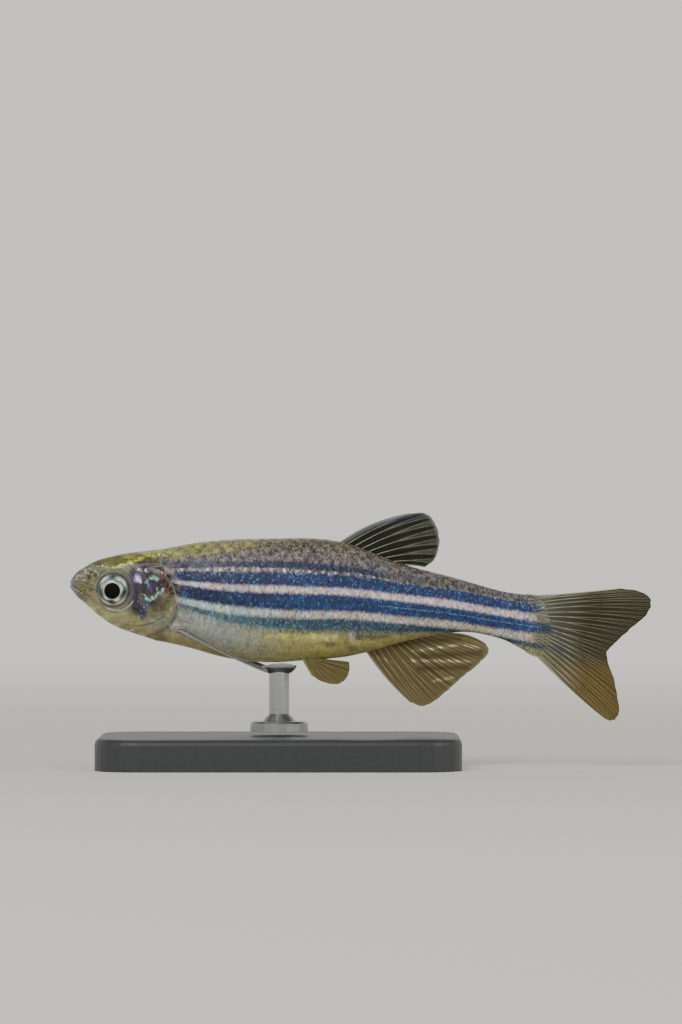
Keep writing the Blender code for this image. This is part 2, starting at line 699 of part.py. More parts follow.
def main():
    clear_scene()
    parts = collection("zebra danio")
    cutters = collection("cutters")
    back = material("olive and blue skin", (0.2, 0.24, 0.32), 0.35, 0.2)
    cheek_skin = material("silvery olive skin", (0.42, 0.4, 0.28), 0.32, 0.2)
    cover_skin = material("violet silver gill plate", (0.3, 0.33, 0.42), 0.25, 0.4)
    membrane = material("clear olive fin", (0.42, 0.4, 0.33), 0.4, alpha=0.6)
    eye_look = material("silver eye", (0.55, 0.6, 0.58), 0.12, 0.3)
    base_look = material("satin charcoal plate", (0.03, 0.03, 0.035), 0.4)
    rod_look = material("brushed steel", (0.6, 0.6, 0.6), 0.3, 1.0)

    clearance = guide(
        body_loft("clearance", end=TAIL_BASE_X + GAP, step=0.66, grow=GAP), cutters
    )
    head(parts, cutters, cheek_skin, cover_skin)
    for side in (-1, 1):
        eye(side, parts, eye_look)
    trunk_and_stalk(parts, cutters, back, back)
    dorsal_fin(parts, clearance, membrane)
    anal_fin(parts, clearance, membrane)
    caudal_lobes(parts, clearance, membrane)
    pectoral_fins(parts, clearance, membrane)
    pelvic_fins(parts, clearance, membrane)
    stand(parts, clearance, base_look, rod_look)


main()
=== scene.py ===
import math

import bpy
import numpy as np
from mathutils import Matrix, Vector


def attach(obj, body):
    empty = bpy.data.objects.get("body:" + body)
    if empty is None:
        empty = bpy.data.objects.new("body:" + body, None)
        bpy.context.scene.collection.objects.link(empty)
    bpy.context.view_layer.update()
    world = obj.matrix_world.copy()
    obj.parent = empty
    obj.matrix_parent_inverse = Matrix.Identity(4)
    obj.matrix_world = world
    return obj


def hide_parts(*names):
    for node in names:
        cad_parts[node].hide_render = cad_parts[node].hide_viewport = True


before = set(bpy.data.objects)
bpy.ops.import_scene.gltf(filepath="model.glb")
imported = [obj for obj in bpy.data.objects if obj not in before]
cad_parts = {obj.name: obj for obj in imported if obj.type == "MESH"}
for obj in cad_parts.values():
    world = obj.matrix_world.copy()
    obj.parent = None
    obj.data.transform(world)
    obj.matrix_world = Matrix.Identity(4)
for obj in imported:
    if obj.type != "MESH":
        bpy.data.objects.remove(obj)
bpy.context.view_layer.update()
bpy.ops.object.select_all(action="DESELECT")

# Studio.
# A plain pale floor that fades into the light around it, two soft lamps and a camera
# level with the back of the fish, square to its left side.
MM = 0.001
FLOOR_TONE = "#CBC9C2"
SURROUND, OVERHEAD, FLOOR_GLOW = 1.55, 0.5, 0.3
CAMERA_DISTANCE = 400.0
VIEW_CENTRE_X, VIEW_CENTRE_Z = -1.34, 17.59
VIEW_HEIGHT = 70.5
SENSOR = 36.0


def colour(code):
    """An sRGB hex value as a linear colour with full alpha."""
    parts = [int(code[i:i + 2], 16) / 255 for i in (1, 3, 5)]
    return [c / 12.92 if c <= 0.04045 else ((c + 0.055) / 1.055) ** 2.4 for c in parts] + [1.0]


def node(tree, kind, sockets=None, stops=(), **settings):
    """Adds one node to tree with its settings, its values or links by socket, and its ramp stops."""
    made = tree.nodes.new(kind)
    for name, value in settings.items():
        setattr(made, name, value)
    for key, value in (sockets or {}).items():
        if isinstance(value, bpy.types.NodeSocket):
            tree.links.new(value, made.inputs[key])
        else:
            made.inputs[key].default_value = value
    for i, (place, shade) in enumerate(stops):
        elements = made.color_ramp.elements
        element = elements[i] if i < 2 else elements.new(place)
        element.position, element.color = place, shade
    return made


def new_material(name):
    """A material with only its Principled shader, and that shader."""
    made = bpy.data.materials.new(name)
    made.use_nodes = True
    return made, made.node_tree, made.node_tree.nodes["Principled BSDF"]


bpy.ops.mesh.primitive_circle_add(vertices=96, radius=1.6, fill_type="NGON", location=(0, 0, 0))
floor = bpy.context.object
floor.name = "floor"
# Matt seamless paper: no shine, and at a distance it takes the tone of the surround.
paper, tree, shader = new_material("seamless paper")
place = node(tree, "ShaderNodeTexCoord").outputs["Object"]
distance = node(tree, "ShaderNodeVectorMath", {0: place}, operation="LENGTH").outputs["Value"]
far = node(
    tree, "ShaderNodeMapRange", {"Value": distance, "From Min": 0.03, "From Max": 0.30, "To Min": FLOOR_GLOW},
    interpolation_type="SMOOTHSTEP",
).outputs["Result"]
lit = node(
    tree, "ShaderNodeMix", {0: far, 6: colour(FLOOR_TONE), 7: (0, 0, 0, 1)}, data_type="RGBA"
).outputs[2]
tree.links.new(lit, shader.inputs["Base Color"])
shader.inputs["Roughness"].default_value = 0.9
shader.inputs["Specular IOR Level"].default_value = 0.0
shader.inputs["Emission Color"].default_value = colour(FLOOR_TONE)
glow = node(tree, "ShaderNodeMath", {0: far, 1: SURROUND}, operation="MULTIPLY").outputs[0]
tree.links.new(glow, shader.inputs["Emission Strength"])
floor.data.materials.append(paper)

# The surround is palest near the level of the floor and dims overhead, where the lamps hang.
world = bpy.data.worlds.new("soft surround")
bpy.context.scene.world = world
world.use_nodes = True
tree = world.node_tree
heading = node(tree, "ShaderNodeTexCoord").outputs["Generated"]
rise = node(tree, "ShaderNodeSeparateXYZ", {0: heading}).outputs["Z"]
strength = node(
    tree, "ShaderNodeMapRange",
    {"Value": rise, "From Min": 0.2, "From Max": 0.65, "To Min": SURROUND, "To Max": OVERHEAD},
    interpolation_type="SMOOTHSTEP",
).outputs["Result"]
tree.nodes["Background"].inputs["Color"].default_value = colour(FLOOR_TONE)
tree.links.new(strength, tree.nodes["Background"].inputs["Strength"])

for name, place, size, watts in (
    ("key softbox", (-0.10, -0.19, 0.20), 0.14, 0.55),
    ("tail softbox", (0.17, -0.10, 0.10), 0.12, 0.13),
    ("back strip", (0.02, 0.18, 0.16), 0.14, 0.07),
):
    bpy.ops.object.light_add(type="AREA", location=place)
    lamp = bpy.context.object
    lamp.name = name
    lamp.data.size = size
    lamp.data.energy = watts
    aim = Vector((0, 0, 0.01)) - Vector(place)
    lamp.rotation_euler = aim.to_track_quat("-Z", "Y").to_euler()

bpy.ops.object.camera_add(
    location=(VIEW_CENTRE_X * MM, -CAMERA_DISTANCE * MM, VIEW_CENTRE_Z * MM),
    rotation=(math.pi / 2, 0, 0),
)
camera = bpy.context.object
camera.data.sensor_fit = "VERTICAL"
camera.data.sensor_height = SENSOR
camera.data.lens = SENSOR * CAMERA_DISTANCE / VIEW_HEIGHT
camera.data.clip_start = 0.01
bpy.context.scene.camera = camera

# Skin.
# Thin, wet skin over head, trunk and tail stalk in one piece, with the gill covers as plates
# under it. It is lofted through the fish's own cross-sections, then the bones of the head, the
# gape, the nostrils, the orbits and the gill openings are pressed into it.
SWIM_HEIGHT = 10.5
SNOUT_X, SNOUT_TIP_Z, SNOUT_ROUNDING = -20.0, 2.1, 0.7
TAIL_END_X, TAIL_WEDGE, TAIL_END_CURVE = 13.05, 1.15, 0.5
TAIL_SWAY, SWAY_START_X, TAIL_TIP_X = 0.9, -4.0, 20.0
WIDEST_LEVEL = 0.53
CHEEK_SWELL = 0.18
COAT_DEPTH = 0.035
BACK = (
    (-20.0, 2.75), (-19.3, 3.12), (-18.4, 3.64), (-16.8, 4.12), (-14.0, 4.52), (-11.0, 5.04),
    (-6.5, 5.29), (-1.3, 5.06), (2.7, 3.6), (6.4, 2.62), (9.8, 1.66), (12.45, 1.18), (13.05, 0.95),
)
BELLY = (
    (-20.0, 1.55), (-19.3, 1.08), (-17.5, -0.48), (-15.2, -1.45), (-12.0, -2.24), (-9.1, -3.01),
    (-6.4, -3.29), (-3.5, -3.13), (-0.7, -2.86), (0.9, -2.48), (2.8, -1.92), (5.6, -1.36), (7.0, -1.2),
    (9.6, -1.65), (12.45, -2.75), (13.05, -2.6),
)
HALF_WIDTH = (
    (-20.0, 0.75), (-19.3, 1.0), (-18.4, 1.38), (-17.0, 1.85), (-15.0, 2.1), (-12.5, 2.25),
    (-8.0, 2.45), (-4.0, 2.3), (0.0, 1.85), (4.0, 1.3), (8.0, 0.85), (12.45, 0.45), (13.05, 0.4),
)
UPPER_FULLNESS = ((-20.0, 2.2), (-17.0, 2.7), (-12.0, 2.2), (12.45, 2.2))
LOWER_FULLNESS = ((-20.0, 2.0), (-15.0, 1.8), (-9.0, 2.1), (12.45, 2.2))
EYE_X, EYE_Z = -16.91, 1.75
ORBIT_RADIUS, ORBIT_SHIFT = 1.36, -0.05
MOUTH_TIP, MOUTH_CORNER = (-20.1, 2.2), (-19.0, 1.46)
NOSTRILS = ((-18.62, 2.62), (-18.22, 2.72))
MARGIN_CENTRE, MARGIN_RADII = (-14.63, 1.03), (2.07, 2.34)
CHEEK_CENTRE, CHEEK_RADII = (-16.7, 1.31), (1.65, 2.75)
ORBIT_DEPTH, GILL_OPENING_DEPTH, GAPE_DEPTH, NOSTRIL_DEPTH, THROAT_DEPTH = 0.85, 0.20, 0.15, 0.16, 0.05
BONE_GROOVE, SUTURE_GROOVE = 0.035, 0.03
HEAD_RINGS, BODY_RINGS, SNOUT_RINGS, END_RINGS, POINTS_ROUND = 150, 130, 15, 8, 300
HEAD_END_X, END_ROUNDING = -12.6, 0.3


def along(points, x):
    """The smooth curve through (position, value) points, read at x, a number or an array."""
    xs, values = np.array(points, float).T
    slopes = np.gradient(values, xs)
    x = np.clip(x, xs[0], xs[-1])
    i = np.minimum(np.searchsorted(xs, x, side="right") - 1, len(xs) - 2)
    span = xs[i + 1] - xs[i]
    t = (x - xs[i]) / span
    rise = values[i + 1] - values[i]
    cubic = slopes[i] * span * (t - 2 * t**2 + t**3) + slopes[i + 1] * span * (t**3 - t**2)
    return values[i] + rise * (3 * t**2 - 2 * t**3) + cubic


def ease(low, high, x):
    """0 below low and 1 above high, with a smooth rise between."""
    t = np.clip((x - low) / (high - low), 0, 1)
    return t * t * (3 - 2 * t)


def swum(points):
    """Points of the straight fish in millimetres, lifted and with the tail swung, in metres."""
    moved = np.array(points, float)
    t = np.maximum(0, (moved[..., 0] - SWAY_START_X) / (TAIL_TIP_X - SWAY_START_X))
    moved[..., 1] -= TAIL_SWAY * t * t
    moved[..., 2] += SWIM_HEIGHT
    return moved * MM


def body_surface(x, angle):
    """Points of the straight body in millimetres. angle 0 is its right flank and a quarter turn its back."""
    behind = np.clip((x - SNOUT_X) / SNOUT_ROUNDING, 0, 1)
    cap = np.sqrt(1 - (1 - behind) ** 2)
    end = TAIL_END_X - TAIL_END_CURVE * np.sin(angle) ** 2
    wedge = np.clip(1 - (np.maximum(0, x - end + TAIL_WEDGE) / TAIL_WEDGE) ** 2, 0, 1)
    top = SNOUT_TIP_Z + (along(BACK, x) - SNOUT_TIP_Z) * cap
    bottom = SNOUT_TIP_Z + (along(BELLY, x) - SNOUT_TIP_Z) * cap
    cheek = CHEEK_SWELL * ease(-16.2, -13.6, x) * (1 - ease(-13.2, -11.6, x))
    half = (along(HALF_WIDTH, x) + cheek) * cap * wedge
    level = bottom + WIDEST_LEVEL * (top - bottom)
    c, s = np.cos(angle), np.sin(angle)
    power = np.where(s > 0, along(UPPER_FULLNESS, x), along(LOWER_FULLNESS, x))
    y = half * np.sign(c) * np.abs(c) ** (2 / power)
    reach = np.where(s > 0, top - level, level - bottom)
    z = level + reach * np.sign(s) * np.abs(s) ** (2 / power)
    return np.stack(np.broadcast_arrays(x, y, z), -1)


def surface_normal(x, angle):
    """The outward normal of the straight body."""
    step = 0.01
    lengthwise = body_surface(x + step, angle) - body_surface(x - step, angle)
    round_it = body_surface(x, angle + step) - body_surface(x, angle - step)
    normal = np.cross(lengthwise, round_it)
    return -normal / np.maximum(np.linalg.norm(normal, axis=-1, keepdims=True), 1e-12)


def to_line(x, z, start, end):
    """Distance from a line between two side-view points, and how far along it, from 0 to 1."""
    dx, dz = end[0] - start[0], end[1] - start[1]
    t = np.clip(((x - start[0]) * dx + (z - start[1]) * dz) / (dx * dx + dz * dz), 0, 1)
    return np.hypot(x - start[0] - t * dx, z - start[1] - t * dz), t


def ring_value(x, z, centre, radii):
    """1 on an ellipse of the side view, less inside it and more outside."""
    return np.hypot((x - centre[0]) / radii[0], (z - centre[1]) / radii[1])


def bell(value, middle, width, power=2):
    """1 where value is middle, falling to nothing on both sides."""
    return np.exp(-((value - middle) / width) ** power)


def relief(x, y, z):
    """How far the head's bones and openings lift or sink the skin, in millimetres."""
    flank = ease(0.15, 0.5, np.abs(y))
    lift = np.zeros_like(x)
    # The orbit, its raised rim and the groove under that.
    eye = np.hypot(x - EYE_X, z - EYE_Z)
    lift -= ORBIT_DEPTH * (1 - ease(1.03, 1.13, np.hypot(x - EYE_X - ORBIT_SHIFT, z - EYE_Z)))
    lift += 0.05 * bell(eye, ORBIT_RADIUS, 0.09)
    lift -= BONE_GROOVE * bell(eye, 1.62, 0.07) * ease(1.9, 1.2, z)
    # The gill cover's plate, and the opening behind its margin.
    cover = ring_value(x, z, MARGIN_CENTRE, MARGIN_RADII)
    rear = ease(-15.2, -14.4, x) * flank
    lift += 0.10 * ease(0.55, 0.95, cover) * (1 - ease(0.985, 1.0, cover)) * rear
    opening = GILL_OPENING_DEPTH * ease(0.99, 1.01, cover) * (1 - ease(1.02, 1.20, cover))
    lift -= opening * rear * (1 - ease(3.0, 3.6, z))
    # The cheek bone's rear edge.
    cheek = ring_value(x, z, CHEEK_CENTRE, CHEEK_RADII)
    bone = ease(-16.6, -15.9, x) * flank * (1 - ease(3.1, 3.7, z))
    lift -= BONE_GROOVE * bell(cheek, 1.0, 0.04) * bone * (0.3 + 0.7 * ease(-0.2, 0.8, z))
    lift += 0.02 * bell(cheek, 0.93, 0.05) * bone
    # The lower edge of the jaw and the gill cover, and the seam across the cover.
    low_edge = -0.78 + 0.16 * (x + 15.5) ** 2
    along_jaw = ease(-18.4, -17.2, x) * (1 - ease(-13.7, -13.1, x)) * flank
    lift -= BONE_GROOVE * bell(z, low_edge, 0.06) * along_jaw
    lift += 0.025 * bell(z - low_edge, 0.13, 0.07) * along_jaw
    suture, _ = to_line(x, z, (-15.0, 0.15), (-13.0, 0.32))
    lift -= SUTURE_GROOVE * bell(suture, 0, 0.05) * flank
    # The gape between its lips, and the fold behind its corner.
    gape, t = to_line(x, z, MOUTH_TIP, MOUTH_CORNER)
    lift -= GAPE_DEPTH * bell(gape, 0, 0.05) * (1 - ease(0.8, 1.0, t))
    lift += 0.03 * bell(gape, 0.16, 0.08) * (1 - ease(0.75, 1.0, t))
    jaw, _ = to_line(x, z, MOUTH_CORNER, (-18.35, 0.75))
    lift -= SUTURE_GROOVE * bell(jaw, 0, 0.06)
    for nx, nz in NOSTRILS:
        hole = np.hypot(x - nx, z - nz)
        lift -= NOSTRIL_DEPTH * bell(hole, 0, 0.085)
        lift += 0.05 * bell(hole, 0.18, 0.05)
    # The throat's furrow. Behind the head the skin lies under the coat of scales.
    middle = (1 - flank) * ease(-18.5, -17.8, x) * (1 - ease(-14.6, -14.0, x)) * (z < 0.5)
    lift -= THROAT_DEPTH * middle
    return lift - COAT_DEPTH * ease(-14.2, -13.4, x)


# Side markings, as the heights of the stripes' edges along the body, from the back down.
STRIPE_X = (-13.2, -9.67, -4.85, -0.72, 2.72, 6.16, 9.6, 12.01, 14.4)
STRIPE_EDGES = (
    (3.66, 3.74, 3.71, 3.32, 2.72, 2.16, 1.42, 0.92, 0.66),
    (3.22, 3.25, 3.16, 2.89, 2.32, 1.85, 1.20, 0.78, 0.54),
    (3.12, 3.11, 3.02, 2.80, 2.29, 1.83, 1.19, 0.77, 0.53),
    (2.50, 2.19, 2.02, 1.85, 1.47, 1.07, 0.46, 0.16, -0.02),
    (2.24, 1.76, 1.53, 1.34, 0.95, 0.49, -0.07, -0.45, -0.7),
    (1.40, 0.79, 0.37, 0.29, -0.03, -0.365, -0.91, -1.21, -1.4),
    (1.00, 0.20, -0.21, -0.29, -0.61, -1.0, -1.55, -1.94, -2.2),
    (0.90, -0.36, -1.16, -1.27, -1.30, -1.24, -1.74, -2.36, -2.66),
)


def stripe_band(x, z):
    """The stripe that a side-view point is in: 0 to 1 the topmost, less the back, over 7 the belly."""
    edges = [along(list(zip(STRIPE_X, edge)), x) for edge in STRIPE_EDGES]
    band = edges[0] - z
    for i, (upper, lower) in enumerate(zip(edges, edges[1:])):
        band = np.where(z <= upper, i + (upper - z) / (upper - lower), band)
    return np.where(z <= edges[-1], len(edges) - 1 + (edges[-1] - z), band)


# Colours laid over the stripes, mostly on the head, as hex, strength, softness, glitter and the
# spots (x, height, half length, half height) that each covers in the side view.
SPOT_TONES = (
    # Jaws, cheek and the pale rim of the chin, lighter still where it turns under: painted light there.
    ("#A39D6F", 1.0, 0.9, 0.1, (
        (-18.3, 0.8, 1.0, 1.0), (-17.4, 0.1, 0.9, 0.9), (-16.4, -0.3, 0.8, 0.8), (-15.4, -0.6, 0.8, 0.8),
        (-14.4, -1.0, 0.7, 0.5),
    )),
    ("#979A6C", 0.9, 0.8, 0.2, ((-17.3, 0.35, 0.8, 0.35), (-16.3, 0.0, 0.9, 0.4))),
    ("#B9BB8C", 0.8, 0.9, 0.1, (
        (-17.0, -0.02, 0.7, 0.12), (-16.1, -0.32, 0.6, 0.12), (-18.3, 0.55, 0.5, 0.14),
    )),
    # The chin's rim: its own pale tone, painted lighter against the shade where it turns under.
    ("#EADBA6", 0.95, 0.9, 0.0, (
        (-18.55, 0.42, 0.35, 0.16), (-17.7, -0.2, 0.5, 0.16), (-16.8, -0.72, 0.5, 0.15),
        (-15.9, -1.05, 0.5, 0.15), (-15.0, -1.4, 0.5, 0.15),
    )),
    # Snout and lips, with pale flecks and dark pores.
    ("#77714F", 0.9, 0.8, 0.4, ((-18.9, 1.6, 0.6, 0.75), (-18.35, 2.2, 0.5, 0.8))),
    ("#7C7A66", 0.95, 0.8, 0.8, (
        (-19.1, 2.8, 0.8, 0.6), (-18.3, 3.15, 0.8, 0.5), (-17.5, 3.35, 0.6, 0.35),
    )),
    ("#85878A", 0.9, 0.9, 0.5, ((-19.9, 2.3, 0.55, 0.7), (-19.65, 1.7, 0.4, 0.5))),
    ("#C9C6B4", 0.85, 0.7, 0.9, (
        (-19.3, 2.78, 0.13, 0.1), (-18.95, 2.38, 0.14, 0.1), (-18.95, 3.0, 0.12, 0.1),
        (-18.6, 3.18, 0.14, 0.1), (-18.35, 3.4, 0.12, 0.08), (-18.0, 3.32, 0.1, 0.1),
        (-19.15, 2.15, 0.1, 0.12), (-18.7, 2.9, 0.1, 0.08), (-17.7, 3.45, 0.12, 0.08),
        (-19.45, 2.45, 0.08, 0.1), (-18.2, 3.05, 0.1, 0.07), (-17.4, 3.35, 0.1, 0.07),
    )),
    ("#3A382D", 0.85, 0.7, 0.2, (
        (-18.65, 2.62, 0.17, 0.14), (-18.15, 2.78, 0.13, 0.11), (-19.0, 1.62, 0.12, 0.2),
        (-18.75, 1.3, 0.14, 0.14), (-18.45, 2.95, 0.12, 0.1), (-19.3, 2.5, 0.1, 0.12),
        (-18.5, 1.75, 0.1, 0.16), (-18.0, 3.05, 0.15, 0.08), (-19.5, 2.75, 0.08, 0.12),
    )),
    # Olive crown and nape, with yellow gloss and dark gaps.
    ("#6F6C34", 0.95, 0.9, 0.5, (
        (-17.2, 3.75, 1.2, 0.35), (-15.8, 3.95, 1.0, 0.4), (-14.4, 4.1, 0.9, 0.4),
    )),
    ("#969840", 0.95, 0.8, 0.6, (
        (-15.9, 4.0, 0.6, 0.2), (-14.9, 4.28, 0.6, 0.2), (-13.8, 4.4, 0.7, 0.24), (-12.8, 4.52, 0.6, 0.24),
        (-11.8, 4.7, 0.6, 0.22), (-10.8, 4.85, 0.6, 0.22),
    )),
    ("#C2C44E", 0.95, 0.85, 0.7, (
        (-17.0, 3.22, 0.36, 0.1), (-16.6, 3.34, 0.34, 0.13), (-16.2, 3.46, 0.34, 0.15),
        (-15.8, 3.6, 0.32, 0.15), (-15.4, 3.76, 0.3, 0.13), (-15.0, 3.92, 0.26, 0.12),
        (-14.55, 4.16, 0.2, 0.12), (-14.2, 4.1, 0.14, 0.2), (-13.8, 4.2, 0.26, 0.14),
        (-13.45, 4.36, 0.16, 0.14), (-13.3, 4.08, 0.12, 0.16), (-12.97, 4.3, 0.24, 0.14),
        (-12.3, 4.44, 0.24, 0.14), (-13.6, 3.6, 0.12, 0.14), (-11.65, 4.55, 0.24, 0.12),
        (-11.1, 4.72, 0.2, 0.12),
    )),
    ("#DDE07E", 0.8, 0.8, 0.8, (
        (-16.45, 3.42, 0.18, 0.07), (-15.85, 3.6, 0.16, 0.07), (-15.2, 3.86, 0.12, 0.07),
        (-13.78, 4.22, 0.14, 0.08), (-12.95, 4.32, 0.12, 0.08), (-17.0, 3.22, 0.14, 0.05),
    )),
    ("#46431F", 0.85, 0.8, 0.4, (
        (-14.5, 3.9, 0.16, 0.2), (-13.95, 3.75, 0.18, 0.2), (-13.2, 3.9, 0.12, 0.2),
        (-12.65, 4.15, 0.1, 0.18), (-15.2, 4.15, 0.2, 0.08), (-16.1, 3.8, 0.25, 0.07),
    )),
    # Dusky gill cover, with a purple and a brown shine.
    ("#49444E", 1.0, 0.6, 0.6, (
        (-15.6, 1.95, 0.75, 1.25), (-15.45, 0.75, 0.65, 0.9), (-15.3, 2.95, 0.8, 0.62),
        (-14.5, 3.15, 1.05, 0.55), (-14.2, 2.3, 1.1, 1.15), (-13.55, 2.4, 0.65, 0.8),
        (-14.6, 0.95, 0.75, 0.7), (-14.9, 0.2, 0.45, 0.55),
    )),
    ("#221C28", 0.95, 0.6, 0.7, (
        (-15.45, 1.5, 0.42, 1.1), (-15.35, 0.6, 0.34, 0.6), (-14.85, 1.9, 0.4, 0.8),
        (-14.9, 3.3, 0.6, 0.32), (-15.6, 2.9, 0.35, 0.3), (-13.75, 2.1, 0.42, 0.55),
        (-14.25, 1.9, 0.65, 0.75), (-14.1, 0.95, 0.45, 0.35), (-14.6, 2.8, 0.5, 0.3),
        (-15.0, 0.3, 0.26, 0.45),
    )),
    ("#4A3A62", 0.9, 0.8, 0.8, (
        (-15.3, 2.5, 0.52, 0.5), (-15.04, 3.42, 0.25, 0.15), (-14.45, 1.95, 0.3, 0.35),
        (-14.65, 3.55, 0.2, 0.1), (-15.5, 1.3, 0.15, 0.3), (-15.3, 0.7, 0.15, 0.2),
    )),
    ("#5C3B30", 0.85, 0.8, 0.3, (
        (-14.1, 3.42, 0.36, 0.22), (-14.8, 2.68, 0.18, 0.2), (-13.4, 2.75, 0.36, 0.45),
        (-13.7, 3.3, 0.3, 0.2),
    )),
    ("#1F1820", 0.9, 0.8, 0.6, ((-14.9, 3.6, 0.55, 0.26), (-14.25, 3.58, 0.4, 0.22))),
    ("#7C8868", 0.8, 0.8, 0.6, (
        (-13.87, 3.02, 0.26, 0.14), (-15.05, 2.2, 0.1, 0.13), (-14.97, 1.52, 0.1, 0.1),
        (-13.5, 3.3, 0.2, 0.12),
    )),
    # The lower part of the gill cover, paler downwards.
    ("#4A4630", 0.9, 0.8, 0.3, (
        (-13.8, 1.1, 0.5, 0.4), (-13.6, 0.6, 0.55, 0.5), (-14.05, 0.45, 0.4, 0.35), (-13.3, 0.9, 0.3, 0.4),
    )),
    ("#64654A", 0.85, 0.9, 0.3, (
        (-14.2, 0.1, 0.5, 0.35), (-13.5, 0.05, 0.5, 0.4), (-13.15, 0.5, 0.3, 0.4),
    )),
    ("#747A76", 0.85, 0.95, 0.6, (
        (-13.8, -0.35, 0.8, 0.35), (-14.45, -0.6, 0.7, 0.3), (-13.3, -0.15, 0.45, 0.35),
        (-13.9, -0.75, 0.7, 0.3),
    )),
    ("#AEB1A4", 0.75, 0.8, 0.6, (
        (-12.98, 0.45, 0.1, 0.28), (-13.2, 0.0, 0.2, 0.1), (-13.65, -0.2, 0.28, 0.06),
        (-14.1, -0.38, 0.28, 0.06), (-14.0, -0.78, 0.35, 0.06),
    )),
    # The dark red gill opening.
    ("#5E2A30", 0.85, 0.8, 0.2, (
        (-13.3, 1.7, 0.3, 0.3), (-13.0, 1.35, 0.25, 0.25), (-13.5, 2.35, 0.2, 0.25),
    )),
    ("#2A0F16", 1.0, 0.6, 0.1, (
        (-13.42, 2.35, 0.14, 0.2), (-13.22, 2.08, 0.16, 0.2), (-13.02, 1.8, 0.16, 0.2),
        (-12.86, 1.55, 0.13, 0.18),
    )),
    # Blue shade and silver specks on the front of the cover, the specks painted highlights on the silver.
    ("#3A4660", 0.9, 0.9, 0.7, (
        (-14.8, 0.75, 0.3, 0.38), (-14.85, 0.35, 0.32, 0.38), (-14.95, -0.02, 0.28, 0.3),
    )),
    ("#9AA6BC", 0.9, 0.6, 0.8, (
        (-15.04, 0.28, 0.08, 0.06), (-14.83, 0.55, 0.06, 0.08), (-14.98, -0.05, 0.08, 0.05),
        (-14.65, 0.4, 0.05, 0.08), (-15.25, 0.95, 0.05, 0.06), (-14.6, 0.75, 0.06, 0.05),
    )),
    # Lilac, green and sky-blue lights on the cover.
    ("#8C86C8", 0.9, 0.7, 0.8, ((-15.3, 2.5, 0.34, 0.33), (-14.72, 2.3, 0.08, 0.12))),
    ("#D9D3F2", 1.0, 0.65, 0.9, ((-15.27, 2.56, 0.22, 0.2), (-15.1, 2.4, 0.13, 0.15))),
    ("#F4F2FC", 1.0, 0.6, 1.0, (
        (-15.32, 2.66, 0.1, 0.07), (-15.2, 2.5, 0.08, 0.09), (-15.08, 2.38, 0.06, 0.06),
    )),
    ("#86BFA4", 0.95, 0.7, 0.9, (
        (-14.25, 2.62, 0.26, 0.13), (-14.0, 2.5, 0.2, 0.13), (-14.55, 2.35, 0.11, 0.18),
        (-14.6, 2.1, 0.1, 0.15),
    )),
    ("#A8D8D0", 0.95, 0.7, 0.9, (
        (-13.6, 1.68, 0.15, 0.09), (-13.8, 1.52, 0.15, 0.1), (-14.0, 1.37, 0.15, 0.11),
        (-14.2, 1.23, 0.15, 0.11), (-14.35, 2.6, 0.08, 0.06),
    )),
    ("#9CDCE8", 1.0, 0.7, 1.0, (
        (-14.8, 1.38, 0.13, 0.11), (-14.62, 1.2, 0.15, 0.13), (-14.44, 1.06, 0.2, 0.13),
    )),
    ("#F0FCFF", 1.0, 0.6, 1.0, (
        (-14.46, 1.06, 0.11, 0.07), (-14.62, 1.22, 0.06, 0.06), (-13.5, 1.98, 0.07, 0.05),
        (-13.43, 1.8, 0.1, 0.05), (-13.64, 2.1, 0.06, 0.05), (-14.05, 2.05, 0.05, 0.06),
        (-13.9, 1.8, 0.05, 0.05),
    )),
    ("#56408A", 0.95, 0.8, 0.7, ((-14.45, 1.95, 0.19, 0.2), (-14.4, 1.75, 0.15, 0.13))),
    ("#EDE8DC", 1.0, 0.6, 1.0, (
        (-15.25, 3.17, 0.12, 0.07), (-14.73, 3.05, 0.1, 0.09), (-15.0, 3.12, 0.06, 0.05),
        (-14.5, 2.98, 0.06, 0.06), (-13.55, 2.95, 0.07, 0.06), (-13.4, 2.82, 0.06, 0.05),
        (-12.97, 3.05, 0.09, 0.07), (-14.0, 3.6, 0.05, 0.05), (-15.55, 3.3, 0.05, 0.05),
    )),
    # The nape and the front ends of the stripes behind the head.
    ("#A8A85A", 0.7, 0.9, 0.6, (
        (-12.6, 4.1, 0.7, 0.4), (-11.4, 4.3, 0.8, 0.4), (-10.2, 4.5, 0.8, 0.45), (-9.0, 4.7, 0.8, 0.4),
        (-7.8, 4.85, 0.8, 0.35),
    )),
    ("#5F5A5C", 0.75, 0.9, 0.9, ((-12.9, 3.42, 0.7, 0.3), (-12.2, 3.46, 0.5, 0.24))),
    ("#6A676C", 0.85, 0.9, 1.0, (
        (-12.7, 2.5, 0.35, 0.3), (-12.55, 1.9, 0.35, 0.45), (-12.45, 1.1, 0.5, 0.5), (-12.2, 0.4, 0.8, 0.6),
        (-12.1, -0.3, 0.9, 0.5),
    )),
    # Silvery breast with bright sparks, and the reddish root of the pectoral fin.
    ("#B4B2B6", 0.85, 0.8, 1.0, (
        (-13.05, -0.73, 0.3, 0.14), (-12.6, -0.6, 0.35, 0.13), (-12.5, -0.9, 0.25, 0.1),
        (-12.0, -0.3, 0.3, 0.12), (-11.5, -0.45, 0.3, 0.1), (-12.4, 0.3, 0.12, 0.3),
        (-12.1, -0.05, 0.2, 0.1),
    )),
    ("#F4F2F4", 0.95, 0.5, 1.0, (
        (-13.1, -0.74, 0.11, 0.06), (-12.8, -0.6, 0.09, 0.06), (-12.55, -0.72, 0.08, 0.05),
        (-12.3, -0.45, 0.08, 0.05), (-12.6, -0.92, 0.08, 0.05), (-12.05, -0.62, 0.07, 0.05),
        (-12.45, 0.45, 0.05, 0.08), (-12.3, 0.0, 0.06, 0.05), (-12.1, 0.9, 0.06, 0.05),
    )),
    ("#83524E", 0.8, 0.8, 0.2, (
